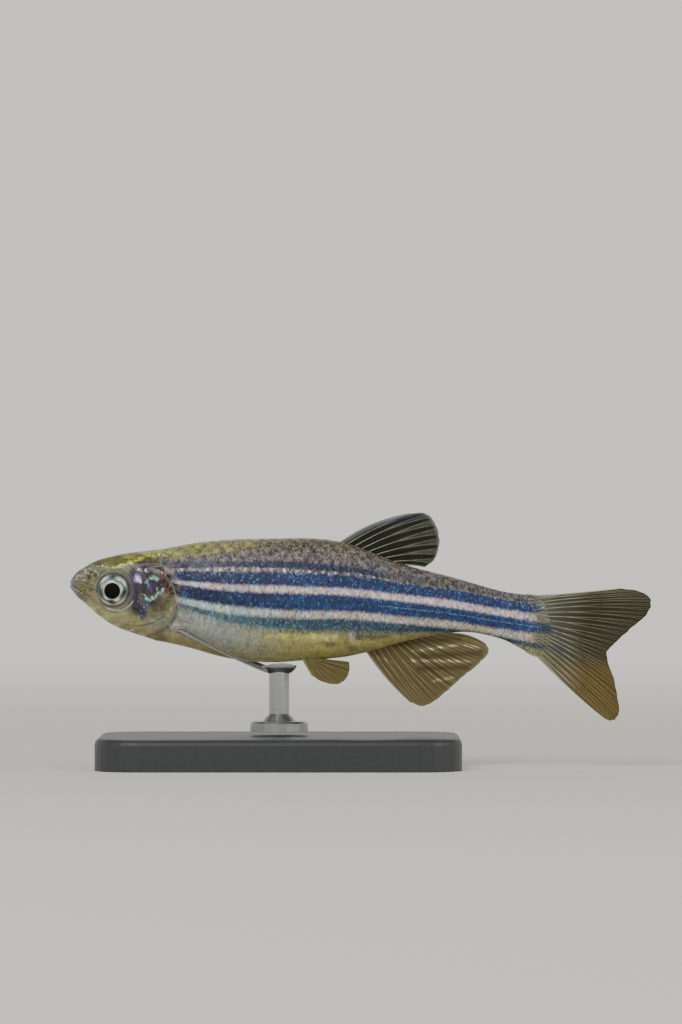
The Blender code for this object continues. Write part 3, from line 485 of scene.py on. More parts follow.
        (-12.05, -0.78, 0.3, 0.07), (-13.1, -1.1, 0.3, 0.15), (-12.5, -1.15, 0.3, 0.12),
    )),
    ("#B8A878", 0.85, 0.9, 0.1, (
        (-12.6, -1.8, 0.5, 0.5), (-11.6, -1.9, 0.5, 0.5), (-10.4, -2.3, 0.6, 0.6), (-9.4, -2.7, 0.5, 0.5),
    )),
    # Yellow band along the belly, and the dark and pale marks round the vent.
    ("#D6D85A", 0.9, 0.9, 0.9, (
        (-6.2, -1.45, 0.5, 0.26), (-5.3, -1.4, 0.5, 0.26), (-4.4, -1.45, 0.5, 0.26),
        (-3.5, -1.42, 0.5, 0.24), (-2.7, -1.45, 0.4, 0.24),
    )),
    ("#514C48", 0.9, 0.9, 0.6, ((-0.1, -1.5, 0.8, 0.34), (0.8, -1.52, 0.8, 0.3), (1.6, -1.5, 0.6, 0.22))),
    ("#464F47", 0.72, 0.9, 0.6, ((-1.9, -2.0, 0.75, 0.3), (-0.95, -1.9, 0.3, 0.6), (-0.5, -2.3, 0.5, 0.3))),
    ("#F4F09C", 0.95, 0.9, 1.0, (
        (-1.7, -1.38, 0.2, 0.4), (-2.33, -1.62, 0.22, 0.3), (-3.2, -1.5, 0.2, 0.24),
    )),
    ("#D9EAE6", 0.75, 0.9, 1.0, ((-0.62, -1.42, 0.2, 0.34),)),
    # Purple, teal, green and yellow shine within the stripes.
    ("#3A2A4C", 0.55, 0.9, 0.9, (
        (-11.7, 2.72, 0.5, 0.26), (-10.6, 2.7, 0.4, 0.26), (-6.2, 2.55, 0.26, 0.3), (-5.1, 2.5, 0.22, 0.3),
        (-11.7, 1.58, 0.45, 0.26), (-3.3, 0.95, 0.3, 0.3), (-1.9, 2.4, 0.2, 0.28),
    )),
    ("#22687A", 0.5, 0.9, 0.9, (
        (-8.9, 2.62, 0.45, 0.26), (-7.3, 2.56, 0.3, 0.3), (-5.65, 2.5, 0.2, 0.3), (-4.3, 2.45, 0.25, 0.3),
        (-9.0, 1.2, 0.4, 0.28), (-7.6, 1.1, 0.3, 0.3), (-5.4, 0.95, 0.4, 0.3), (-4.4, 0.95, 0.3, 0.3),
        (2.4, 1.75, 0.5, 0.2),
    )),
    ("#4E7A52", 0.5, 0.9, 0.9, ((1.7, 2.72, 0.18, 0.3), (1.75, 2.2, 0.14, 0.2))),
    ("#DCD26E", 0.6, 0.9, 0.9, ((-5.1, 1.74, 0.3, 0.18), (-4.2, 1.74, 0.3, 0.18), (-3.4, 1.7, 0.35, 0.18))),
    # The lower edge of the tail stalk and the silver ends of its stripes.
    ("#77754F", 0.8, 0.9, 0.3, ((11.3, -2.45, 0.8, 0.3), (12.1, -2.72, 0.7, 0.3), (12.6, -2.6, 0.4, 0.3))),
    ("#B4C2D4", 0.85, 0.7, 0.9, (
        (12.07, 0.66, 0.18, 0.07), (12.38, 0.53, 0.16, 0.06), (11.82, 0.86, 0.16, 0.08),
        (12.5, 0.78, 0.2, 0.05),
    )),
)
# The head's own colour at heights from the throat up to the crown.
HEAD_GROUND = (
    (-2, "#948868"), (-0.8, "#8C8564"), (0, "#86825F"), (2, "#625E4A"), (3.0, "#5C583F"), (3.6, "#57542F"),
    (4.6, "#504E2A"),
)
# The silver arc on the bone under the eye, as angles round the eye in degrees.
ARC_TURNS, ARC_RADII, ARC_TONE = (-115, -90, -70, -30), (1.27, 1.38, 1.49, 1.51), "#EEF0EC"
ARC_START, ARC_END = (-125, -105), (-36, -24)
# Round the eye: the socket's dark ring is painted shade in the groove between the ball and the orbit.
SOCKET_SHADE_TONE, LID_TONE, MARGIN_TONE = "#5B5C54", "#7D8474", "#A9A69A"
UNDER_TONE, BEHIND_TONE = "#6E6850", "#46424E"
TAIL_RAYS, ROOT_TONES = 17, ("#86846E", "#4C4A3A", "#27314A", "#B1AE84")
GRIT_SIZE, BARE_GLITTER = 0.035, 0.35


def wobble(x, z, size):
    """A smooth uneven value from -1 to 1 that breaks up drawn edges."""
    u, v = x / size, z / size
    waves = np.sin(2.1 * u + 1.3 * v) + np.sin(-1.7 * u + 2.9 * v + 1.0) + np.sin(3.7 * u + 0.6 * v + 2.0)
    return waves / 3


def graded(place, stops):
    """The colours at place between (position, hex) stops."""
    spots, codes = zip(*stops)
    channels = zip(*(colour(code)[:3] for code in codes))
    return np.stack([np.interp(place, spots, values) for values in channels], -1)


def covered(shade, code, cover):
    """The colours of shade with one colour laid over them as far as cover says."""
    return shade * (1 - cover[..., None]) + np.array(colour(code)[:3]) * cover[..., None]


def painted(x, y, z):
    """Colour, strength and glitter of what is laid over the stripes, at points of the body."""
    # The head as far back as the gill cover's margin.
    margin = ring_value(x, z, MARGIN_CENTRE, MARGIN_RADII)
    head = 1 - ease(-13.2, -12.5, x + 0.4 * ease(1.0, -1.4, z) + 1.2 * ease(3.0, 3.7, z))
    head = np.maximum(head, 1 - ease(0.96, 1.02, margin))
    # The end of the tail stalk, where the roots of the rays and the ends of the stripes show.
    top, bottom = along(BACK, x), along(BELLY, x)
    ray = 0.5 + 0.5 * np.cos(2 * math.pi * TAIL_RAYS * np.clip((top - z) / (top - bottom), 0, 1))
    band = stripe_band(x, z)
    pale = bell(band, 3.5, 0.5, 4) + bell(band, 5.5, 0.5, 4)
    blue = 0.6 * bell(band, 2.5, 0.5, 4) + bell(band, 4.5, 0.5, 4) + 0.6 * bell(band, 6.5, 0.5, 4)
    rear = x + 0.3 * wobble(x, z, 0.5)
    root = ease(11.5, 12.5, rear) * (0.3 + 0.3 * ray) + ease(11.0, 11.8, rear) * 0.6 * pale
    root = np.clip(np.maximum(root, 0.9 * ease(12.2, 12.7, x)), 0, 1)
    light, gap, navy, straw = (np.array(colour(code)[:3]) for code in ROOT_TONES)
    ends = gap + (light - gap) * (ray**2)[..., None]
    ends = ends + (straw - ends) * (pale * bell(rear, 11.65, 0.4) * 0.8)[..., None]
    ends = ends + (navy - ends) * (blue * ease(11.6, 12.1, x) * 0.85)[..., None]
    shade = np.where(root[..., None] > 0, ends, graded(z, HEAD_GROUND))
    strength, glitter = np.maximum(head, root), np.full_like(x, BARE_GLITTER)
    # The spots, with uneven edges that run slantwise over the back.
    u = x + 0.05 * wobble(x, z, 0.11) + 0.10 * wobble(x + 3, z, 0.26)
    v = z + 0.05 * wobble(z, x, 0.10) + 0.08 * wobble(z, x + 3, 0.22)
    over_top = 1 - ease(0.6, 1.4, np.abs(y))
    slant = wobble(y - 0.8 * x, x + 0.6 * y + 4, 0.19)
    u = u + over_top * (0.28 * wobble(y + 0.6 * x, x - 0.7 * y + 1, 0.45) + 0.14 * slant)
    v = v + over_top * (0.12 * wobble(y + 0.5 * x, z - 0.7 * y + 2, 0.35) + 0.06 * slant)
    grit = 0.5 + 0.5 * wobble(z, x, GRIT_SIZE)
    for code, most, softness, sparkle, spots in SPOT_TONES:
        cover = np.zeros_like(x)
        for spot_x, spot_z, wide, tall in spots:
            off = np.hypot((u - spot_x) / wide, (v - spot_z) / tall)
            cover = np.maximum(cover, 1 - ease(1 - softness, 1.15, off))
        cover *= most * (1 - 0.4 * sparkle * grit)
        beneath = strength * (1 - cover)
        strength = beneath + cover
        laid = np.array(colour(code)[:3]) * cover[..., None]
        shade = (shade * beneath[..., None] + laid) / np.maximum(strength, 1e-6)[..., None]
        glitter = glitter * (1 - cover) + sparkle * cover
    # Pores all over the head, strongest on the snout.
    pores = wobble(x + 0.7 * y, z, 0.06) * wobble(z - 0.8 * y, x + 5, 0.05)
    pores = pores + 0.5 * wobble(z + 0.9 * y, x + 2, 0.11)
    snout = head * (0.25 + 0.5 * (1 - ease(-17.6, -16.6, x)) * ease(0.8, 1.6, z))
    shade = shade * (1 + pores * snout)[..., None]
    # The tones round the eye, painted shade in its groove, the silver arc under it and the pale margin of the
    # gill cover.
    turn = np.degrees(np.arctan2(z - EYE_Z, x - EYE_X))
    eye = np.hypot(x - EYE_X, z - EYE_Z)
    rim = 0.7 * bell(margin, 0.975, 0.018) * ease(-14.6, -13.6, x) * (1 - ease(1.2, 1.8, z))
    arc = bell(eye, np.interp(turn, ARC_TURNS, ARC_RADII), 0.045)
    arc = arc * (ease(*ARC_START, turn) * (1 - ease(*ARC_END, turn))) * (0.75 + 0.25 * np.sin(turn * 0.9))
    for cover, code in (
        (0.75 * bell(eye, 1.3, 0.06), LID_TONE),
        # Painted shade in the groove round the eye, weaker towards the snout.
        (bell(eye, 1.15, 0.08) * (0.85 - 0.5 * bell(np.abs(turn), 180, 50)), SOCKET_SHADE_TONE),
        (0.6 * bell(eye, 1.22, 0.12) * bell(turn, -90, 40), UNDER_TONE),
        (0.85 * bell(eye, 1.26, 0.17) * bell(turn, 5, 42), BEHIND_TONE),
        (rim, MARGIN_TONE),
        (arc, ARC_TONE),
    ):
        shade = covered(shade, code, cover)
    glitter = np.where(strength > 0.5, glitter, 1.0)
    return np.concatenate([shade, strength[..., None]], -1), glitter


def store(mesh, name, values):
    """Stores a number or a colour for each vertex of a mesh, or one number for all."""
    values = np.asarray(values, np.float32)
    if values.ndim == 0:
        values = np.full(len(mesh.vertices), values)
    kind, field = ("FLOAT_COLOR", "color") if values.ndim == 2 else ("FLOAT", "value")
    mesh.attributes.new(name, kind, "POINT").data.foreach_set(field, values.ravel())


def mark(mesh, flat, tones=0.5, reach=0.5):
    """Stores the markings of straight-fish points on the matching vertices of a mesh."""
    x, y, z = flat.T
    paint, glitter = painted(x, y, z)
    for name, values in (
        ("band", stripe_band(x, z)), ("glitter", glitter), ("paint", paint),
        ("tone", tones), ("reach", reach),
    ):
        store(mesh, name, values)


def corners_of(mesh):
    """The vertices of a mesh as rows of three numbers."""
    places = np.zeros(len(mesh.vertices) * 3)
    mesh.vertices.foreach_get("co", places)
    return places.reshape(-1, 3)


rings = HEAD_RINGS + BODY_RINGS
bpy.ops.mesh.primitive_grid_add(x_subdivisions=rings, y_subdivisions=POINTS_ROUND, size=1.0)
skin = bpy.context.object
skin.name = "skin"
place = corners_of(skin.data)
stations = np.concatenate([
    SNOUT_X + (1 - np.cos(np.linspace(0, math.pi / 2, SNOUT_RINGS + 1)))[:-1] * SNOUT_ROUNDING,
    np.linspace(SNOUT_X + SNOUT_ROUNDING, HEAD_END_X, HEAD_RINGS - SNOUT_RINGS)[:-1],
    np.linspace(HEAD_END_X, TAIL_END_X - END_ROUNDING, BODY_RINGS - END_RINGS + 2),
    TAIL_END_X - END_ROUNDING * (1 - np.linspace(0, 1, END_RINGS + 1)[1:]) ** 2,
])
x = stations[np.round((place[:, 0] + 0.5) * rings).astype(int)]
angle = (place[:, 1] + 0.5) * 2 * math.pi - math.pi / 2
curved = np.maximum(0, x - TAIL_END_X + TAIL_WEDGE) / TAIL_WEDGE
x = x - TAIL_END_CURVE * np.sin(angle) ** 2 * curved
flat = body_surface(x, angle)
normal = surface_normal(np.clip(x, SNOUT_X + 0.02, TAIL_END_X - TAIL_END_CURVE - 0.2), angle)
lift = relief(*flat.T) * (1 - ease(TAIL_END_X - 1.0, TAIL_END_X - 0.2, x))
mark(skin.data, flat)
skin.data.vertices.foreach_set("co", swum(flat + normal * lift[:, None]).ravel())
skin.data.update()
bpy.ops.object.mode_set(mode="EDIT")
bpy.ops.mesh.select_all(action="SELECT")
bpy.ops.mesh.remove_doubles(threshold=0.000002)
bpy.ops.mesh.normals_make_consistent(inside=False)
bpy.ops.object.mode_set(mode="OBJECT")
bpy.ops.object.shade_smooth()

# Fish skin with guanine crystals: clear wet slime over pigment cells. The stripes' blues and
# silvers come as small metallic flecks, made lighter in the colour than the crystals are as
# painted glints, and each scale of the back has a dusky rear edge.
# The flecks are drawn coarser than the real ones, so that they show.
FLECK_SIZE, FLECK_BEND, CELL_SIZE = (0.13, 0.22), 0.24, 0.17
RAGGED_SIZE, RAGGEDNESS, MOTTLE_SIZE, PATCH_SIZE = 0.16, 0.25, 0.55, 0.9
GRAIN_SIZE, STREAK_SIZE, DRIFT_SIZE = (0.12, 0.24), (0.2, 1.1), (0.2, 0.5)
HUE_PLAY, BLUSH_STRENGTH, OWN_SPARK, GLOW = 0.2, 0.6, 0.65, 1.7
BEAD_PLACE, BEAD_TONE, CELL_TONE = 0.74, "#F2E9DE", "#1B1820"
BEADS = ((1.0, 0.0), (1.4, 0.9), (1.6, 0.9), (2.0, 0.0), (3.5, 0.0), (3.68, 0.8), (3.8, 0.8), (3.95, 0.0))
BLUSH = ((0.36, "#AAC4CA"), (0.46, "#C8B6C0"), (0.56, "#BDB7B8"), (0.66, "#D0C792"))
SHEENS = ("#F6F4EE", "#F2F4F4", "#B9E6CE", "#C6B6EC", "#B4D6F0")
RAMP_START, RAMP_SPAN = -3.0, 14.0
# Where one band ends and the next begins, and how softly.
BAND_EDGES = (
    (-0.9, 0.5), (0.0, 0.19), (1.0, 0.19), (2.0, 0.19), (3.1, 0.19), (3.9, 0.19), (5.1, 0.19), (5.9, 0.19),
    (7.0, 0.35), (9.0, 0.5),
)
FRONT_TONES = (
    "#7C784E", "#6C6466", "#2A2D42", "#746E74", "#22284A", "#BDADB4", "#1B2446", "#AAC0C2", "#4C6472",
    "#9A9F98", "#BCAF7E",
)
REAR_TONES = (
    "#605C50", "#666060", "#2B304A", "#5A5563", "#23335C", "#C4B2BA", "#1E345E", "#B5ABA0", "#35485A",
    "#AAA164", "#D6C68E",
)
TAIL_TONES = REAR_TONES[:2] + ("#5A5A5A", "#5E5B60") + REAR_TONES[4:]
FRONT_TONES_FADE, BACK_STRIPE_FADE = (-0.0095, -0.0035), (0.0006, 0.0026)
LINE_PLACE, LINE_TONE, LINE_STRENGTH = 4.45, "#86A0C6", 0.32
# Each band's fleck tone and share, lighter than the band as painted glints on the crystals' own colour.
GLINTS = (
    ("#C2C084", 0.6), ("#B6ACAA", 0.55), ("#7C8AA8", 0.38), ("#D8CCC4", 0.5), ("#6C8CCA", 0.62),
    ("#FFF6F6", 0.95), ("#5A86C4", 0.55), ("#F4FFF8", 0.9), ("#8CB0C0", 0.5), ("#E2E09A", 0.5),
    ("#D0C894", 0.25),
)


def banded(tones):
    """Ramp stops for a tone to each band of the side, from the back down to the belly."""
    stops = [(0.0, tones[0])]
    for (edge, soft), upper, lower in zip(BAND_EDGES, tones, tones[1:]):
        stops.append(((edge - soft - RAMP_START) / RAMP_SPAN, upper))
        stops.append(((edge + soft - RAMP_START) / RAMP_SPAN, lower))
    return stops


def upright(width, height):
    """Texture scales for marks of this width and height in millimetres."""
    return 1 / (width * MM), 1 / (width * MM), 1 / (height * MM)


fish_skin, tree, shader = new_material("wet fish skin")
place = node(tree, "ShaderNodeTexCoord").outputs["Object"]
length = node(tree, "ShaderNodeSeparateXYZ", {0: place}).outputs["X"]
band, glitter, tone, reach = (
    node(tree, "ShaderNodeAttribute", attribute_name=stored).outputs["Fac"]
    for stored in ("band", "glitter", "tone", "reach")
)
paint = node(tree, "ShaderNodeAttribute", attribute_name="paint")
paint_share = paint.outputs["Alpha"]
ragged, warp, mottle, patches = (
    node(tree, "ShaderNodeTexNoise", {"Vector": place, "Scale": 1 / (size * MM), "Detail": detail})
    for size, detail in ((RAGGED_SIZE, 2.0), (RAGGED_SIZE, 1.0), (MOTTLE_SIZE, 3.0), (PATCH_SIZE, 1.0))
)
warp = node(
    tree, "ShaderNodeVectorMath", {0: warp.outputs["Color"], 1: (0.5, 0.5, 0.5)}, operation="SUBTRACT"
).outputs[0]
bent = node(
    tree, "ShaderNodeVectorMath", {0: warp, 1: (FLECK_BEND * MM,) * 3, 2: place}, operation="MULTIPLY_ADD"
).outputs[0]
on_flecks, on_grain, on_streaks, on_drift = (
    node(tree, "ShaderNodeMapping", {"Vector": lie, "Scale": upright(*size)}).outputs["Vector"]
    for lie, size in ((bent, FLECK_SIZE), (place, GRAIN_SIZE), (place, STREAK_SIZE), (place, DRIFT_SIZE))
)
grain, streaks, drift = (
    node(tree, "ShaderNodeTexNoise", {"Vector": lie, "Scale": 1.0, "Detail": 2.0})
    for lie in (on_grain, on_streaks, on_drift)
)
flecks = node(tree, "ShaderNodeTexVoronoi", {"Vector": on_flecks, "Scale": 1.0})
cells = node(tree, "ShaderNodeTexVoronoi", {"Vector": place, "Scale": 1 / (CELL_SIZE * MM)})
fleck_lots, cell_lots = (
    node(tree, "ShaderNodeSeparateColor", {0: spots.outputs["Color"]}).outputs for spots in (flecks, cells)
)

# The stripes, ragged along their edges, in one row of tones for each stretch of the body.
shift = node(tree, "ShaderNodeMath", {0: ragged.outputs["Fac"], 1: 0.5}, operation="SUBTRACT").outputs[0]
rough_band = node(
    tree, "ShaderNodeMath", {0: shift, 1: RAGGEDNESS, 2: band}, operation="MULTIPLY_ADD"
).outputs[0]
on_ramp = node(
    tree, "ShaderNodeMapRange",
    {"Value": rough_band, "From Min": RAMP_START, "From Max": RAMP_START + RAMP_SPAN},
).outputs["Result"]
front, rear, tail = (
    node(tree, "ShaderNodeValToRGB", {"Fac": on_ramp}, banded([colour(c) for c in tones])).outputs["Color"]
    for tones in (FRONT_TONES, REAR_TONES, TAIL_TONES)
)
rearward, behind_fin = (
    node(
        tree, "ShaderNodeMapRange", {"Value": length, "From Min": start, "From Max": end},
        interpolation_type="SMOOTHSTEP",
    ).outputs["Result"]
    for start, end in (FRONT_TONES_FADE, BACK_STRIPE_FADE)
)
glint = node(
    tree, "ShaderNodeValToRGB", {"Fac": on_ramp}, banded([colour(c)[:3] + [much] for c, much in GLINTS])
)
glint_share = glint.outputs["Alpha"]

# Each row reads a value between two limits and says what it then runs from and to. The names
# stand in the order of the rows.
(
    fleck_chosen, fleck_dot, sheeny, hue,
    cell_chosen, cell_dot, above_belly, scale_edge, on_back,
    clouded, rough_grain, calm, span, streak,
    toned, own_bead,
) = (
    node(
        tree, "ShaderNodeMapRange",
        {"Value": value, "From Min": low, "From Max": high, "To Min": first, "To Max": last},
    ).outputs["Result"]
    for value, low, high, first, last in (
        # Which flecks shine, how far from their middles, in what sheen and hue.
        (fleck_lots[0], 0.45, 0.95, 0.0, 1.0), (flecks.outputs["Distance"], 0.6, 0.25, 0.0, 1.0),
        (glitter, 0.6, 1.0, 0.0, 0.35), (fleck_lots[1], 0.0, 1.0, 0.46, 0.54),
        # The dark cells and the dusky edges of the scales, fewer towards the belly.
        (cell_lots[1], 0.5, 0.9, 0.0, 1.0), (cells.outputs["Distance"], 0.55, 0.2, 0.0, 0.55),
        (band, 7.6, 6.6, 0.25, 1.0), (reach, 0.6, 1.0, 0.0, 0.6), (band, 6.8, 1.0, 0.08, 1.0),
        # Clouds and grain, calm on the belly, and upright streaks, widest on the back.
        (mottle.outputs["Fac"], 0.3, 0.7, 0.84, 1.12), (grain.outputs["Fac"], 0.3, 0.7, -0.36, 0.42),
        (band, 7.9, 6.9, 0.3, 1.0), (band, 0.6, 3.2, 0.7, 0.2), (streaks.outputs["Fac"], 0.3, 0.7, -1.0, 1.0),
        # Each scale's own tone, and the strength of its bead.
        (tone, 0.0, 1.0, 0.92, 1.08), (tone, 0.0, 1.0, 0.25, 1.0),
    )
)
# How near the lateral line is, and the row of pale beads near each scale's edge.
nearness = []
for value, middle, far, most in (
    (rough_band, LINE_PLACE, 0.07, LINE_STRENGTH), (reach, BEAD_PLACE, 0.1, 1.0),
):
    off = node(tree, "ShaderNodeMath", {0: value, 1: middle}, operation="SUBTRACT").outputs[0]
    off = node(tree, "ShaderNodeMath", {0: off}, operation="ABSOLUTE").outputs[0]
    nearness.append(node(
        tree, "ShaderNodeMapRange", {"Value": off, "From Min": far, "From Max": 0.02, "To Max": most}
    ).outputs["Result"])
near_line, bead = nearness
bead_row = node(
    tree, "ShaderNodeValToRGB", {"Fac": on_ramp},
    [((edge - RAMP_START) / RAMP_SPAN, (much, much, much, 1.0)) for edge, much in BEADS],
).outputs["Color"]
low_row = node(tree, "ShaderNodeMath", {0: band, 1: 3.0}, operation="GREATER_THAN").outputs[0]
ahead = node(tree, "ShaderNodeMath", {0: 1.0, 1: behind_fin}, operation="SUBTRACT").outputs[0]
bead_kept = node(tree, "ShaderNodeMath", {0: low_row, 1: ahead}, operation="MAXIMUM").outputs[0]
# Where a painted tone lies, it has its own sparks and neither streaks nor blush.
spark_most, span, blush_most = (
    node(tree, "ShaderNodeMix", {0: paint_share, 2: bare, 3: under_paint}).outputs[0]
    for bare, under_paint in ((glint_share, OWN_SPARK), (span, 0.0), (glint_share, 0.0))
)
lively = node(tree, "ShaderNodeMath", {0: glitter, 1: calm}, operation="MULTIPLY").outputs[0]
grained, streaked = (
    node(tree, "ShaderNodeMath", {0: value, 1: much, 2: 1.0}, operation="MULTIPLY_ADD").outputs[0]
    for value, much in ((rough_grain, lively), (streak, span))
)
products = []
for product, *factors in (
    (fleck_chosen, fleck_dot, glitter, spark_most), (cell_chosen, cell_dot, above_belly),
    (scale_edge, on_back), (clouded, toned, grained, streaked), (blush_most, calm, BLUSH_STRENGTH),
    (lively, HUE_PLAY), (near_line, behind_fin), (bead, bead_row, own_bead, bead_kept),
):
    for factor in factors:
        product = node(tree, "ShaderNodeMath", {0: product, 1: factor}, operation="MULTIPLY").outputs[0]
    products.append(product)
bright, dark, dusky_edge, gain, blushing, play, line, beaded = products
dark = node(tree, "ShaderNodeMath", {0: dark, 1: dusky_edge}, operation="MAXIMUM").outputs[0]

# The sparks' colours: lightened paint, pale sheens and the turned fleck tones, all painted glints.
vivid = node(
    tree, "ShaderNodeVectorMath", {0: paint.outputs["Color"], "Scale": GLOW}, operation="SCALE"
).outputs[0]
sheens = node(
    tree, "ShaderNodeValToRGB", {"Fac": fleck_lots[1]}, [(i * 0.2, colour(c)) for i, c in enumerate(SHEENS)]
).outputs["Color"]
own = node(tree, "ShaderNodeMix", {0: sheeny, 6: vivid, 7: sheens}, data_type="RGBA").outputs[2]
turned = node(tree, "ShaderNodeHueSaturation", {"Hue": hue, "Color": glint.outputs["Color"]}).outputs["Color"]
spark = node(tree, "ShaderNodeMix", {0: paint_share, 6: turned, 7: own}, data_type="RGBA").outputs[2]
blush = node(
    tree, "ShaderNodeValToRGB", {"Fac": patches.outputs["Fac"]}, [(spot, colour(c)) for spot, c in BLUSH]
).outputs["Color"]
drifting = node(
    tree, "ShaderNodeBrightContrast", {"Color": drift.outputs["Color"], "Contrast": 1.2}
).outputs[0]

# The layers of colour from the bottom up. The gain falls on all that lies under the blush.
base = front
for share, layer, blend in (
    (rearward, rear, "MIX"), (behind_fin, tail, "MIX"), (line, colour(LINE_TONE), "MIX"),
    (paint_share, paint.outputs["Color"], "MIX"), (gain, None, "SCALE"), (blushing, blush, "OVERLAY"),
    (play, drifting, "OVERLAY"), (dark, colour(CELL_TONE), "MIX"), (bright, spark, "MIX"),
    (beaded, colour(BEAD_TONE), "MIX"),
):
    if layer is None:
        base = node(tree, "ShaderNodeVectorMath", {0: base, "Scale": share}, operation=blend).outputs[0]
        continue
    base = node(
        tree, "ShaderNodeMix", {0: share, 6: base, 7: layer}, data_type="RGBA", blend_type=blend
    ).outputs[2]
tree.links.new(base, shader.inputs["Base Color"])
silver = node(tree, "ShaderNodeMapRange", {"Value": bright, "To Min": 0.1, "To Max": 0.75}).outputs["Result"]
tree.links.new(silver, shader.inputs["Metallic"])
shader.inputs["Roughness"].default_value = 0.42
shader.inputs["Specular IOR Level"].default_value = 0.28
shader.inputs["Coat Weight"].default_value = 0.1
shader.inputs["Coat Roughness"].default_value = 0.12
bump = node(tree, "ShaderNodeBump", {"Height": grain.outputs["Fac"], "Strength": 0.2, "Distance": 0.00002})
tree.links.new(bump.outputs["Normal"], shader.inputs["Normal"])
skin.data.materials.append(fish_skin)
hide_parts("head", "trunk", "tail_stalk", "gill_cover_left", "gill_cover_right")
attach(skin, "root")

# Scales.
# Thin bony plates, each rooted in the skin at its front and lying over the next one behind.
# About thirty in a row, in rows along each side, smaller towards the tail.
SCALE_PITCH = 0.88
SCALE_ROWS = 15
FIRST_SCALE_X, LAST_SCALE_X = -14.4, 12.3
SCALE_LENGTH, SCALE_WIDTH = 1.75, 0.92
SCALE_THICKNESS, SCALE_RISE, BELLY_CALM = 0.014, 0.022, 0.88
SCALE_MIDDLE, SCALE_ROUNDING, TAIL_SHRINK = 0.42, 0.585, 0.28
BREAST_END_X, BREAST_TOP = -11.3, 0.7
STEPS_ALONG, STEPS_WIDE = (0.0, 0.35, 0.62, 0.82, 0.94, 1.0), 5
STEPS_LONG = len(STEPS_ALONG)
# The scales' map: a place for each scale by length and girth, and the size of one scale on it.
MAP_LENGTH, MAP_SIDES, MAP_GIRTH, MAP_SCALE = 34, (0.01, 0.51), 0.48, (0.003, 0.0015)

half_turn = np.linspace(math.pi / 2, 3 * math.pi / 2, 121)
girth_x = np.linspace(SNOUT_X + 1, TAIL_END_X - 0.2, 160)
girth_shares = np.linspace(0, 1, 101)
girth_angles = []
for station in girth_x:
    outline = body_surface(np.full_like(half_turn, station), half_turn)
    run = np.concatenate([[0], np.cumsum(np.linalg.norm(np.diff(outline, axis=0), axis=1))])
    girth_angles.append(np.interp(girth_shares * run[-1], run, half_turn))
girth_angles = np.array(girth_angles)


def girth_angle(x, share):
    """The angle round the left side that lies a share of the way from back to belly, at x."""
    row = np.clip((x - girth_x[0]) / (girth_x[-1] - girth_x[0]) * (len(girth_x) - 1), 0, len(girth_x) - 1.001)
    col = np.clip(share * (len(girth_shares) - 1), 0, len(girth_shares) - 1.001)
    i, j = row.astype(int), col.astype(int)
    u, v = row - i, col - j
    return (
        girth_angles[i, j] * (1 - u) * (1 - v) + girth_angles[i + 1, j] * u * (1 - v)
        + girth_angles[i, j + 1] * (1 - u) * v + girth_angles[i + 1, j + 1] * u * v
    )


def built(name, corners, faces, material, uvs=None):
    """A smooth mesh piece from points in metres, riding on the fish."""
    mesh = bpy.data.meshes.new(name)
    mesh.from_pydata(np.asarray(corners).reshape(-1, 3).tolist(), [], faces)
    if uvs is not None:
        layer = mesh.uv_layers.new(name="OFBake")
        loops = np.zeros(len(mesh.loops), int)
        mesh.loops.foreach_get("vertex_index", loops)
        layer.data.foreach_set("uv", np.asarray(uvs)[loops].astype(np.float32).ravel())
    mesh.shade_smooth()
    piece = bpy.data.objects.new(name, mesh)
    bpy.context.collection.objects.link(piece)
    mesh.materials.append(material)
    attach(piece, "root")
    return piece


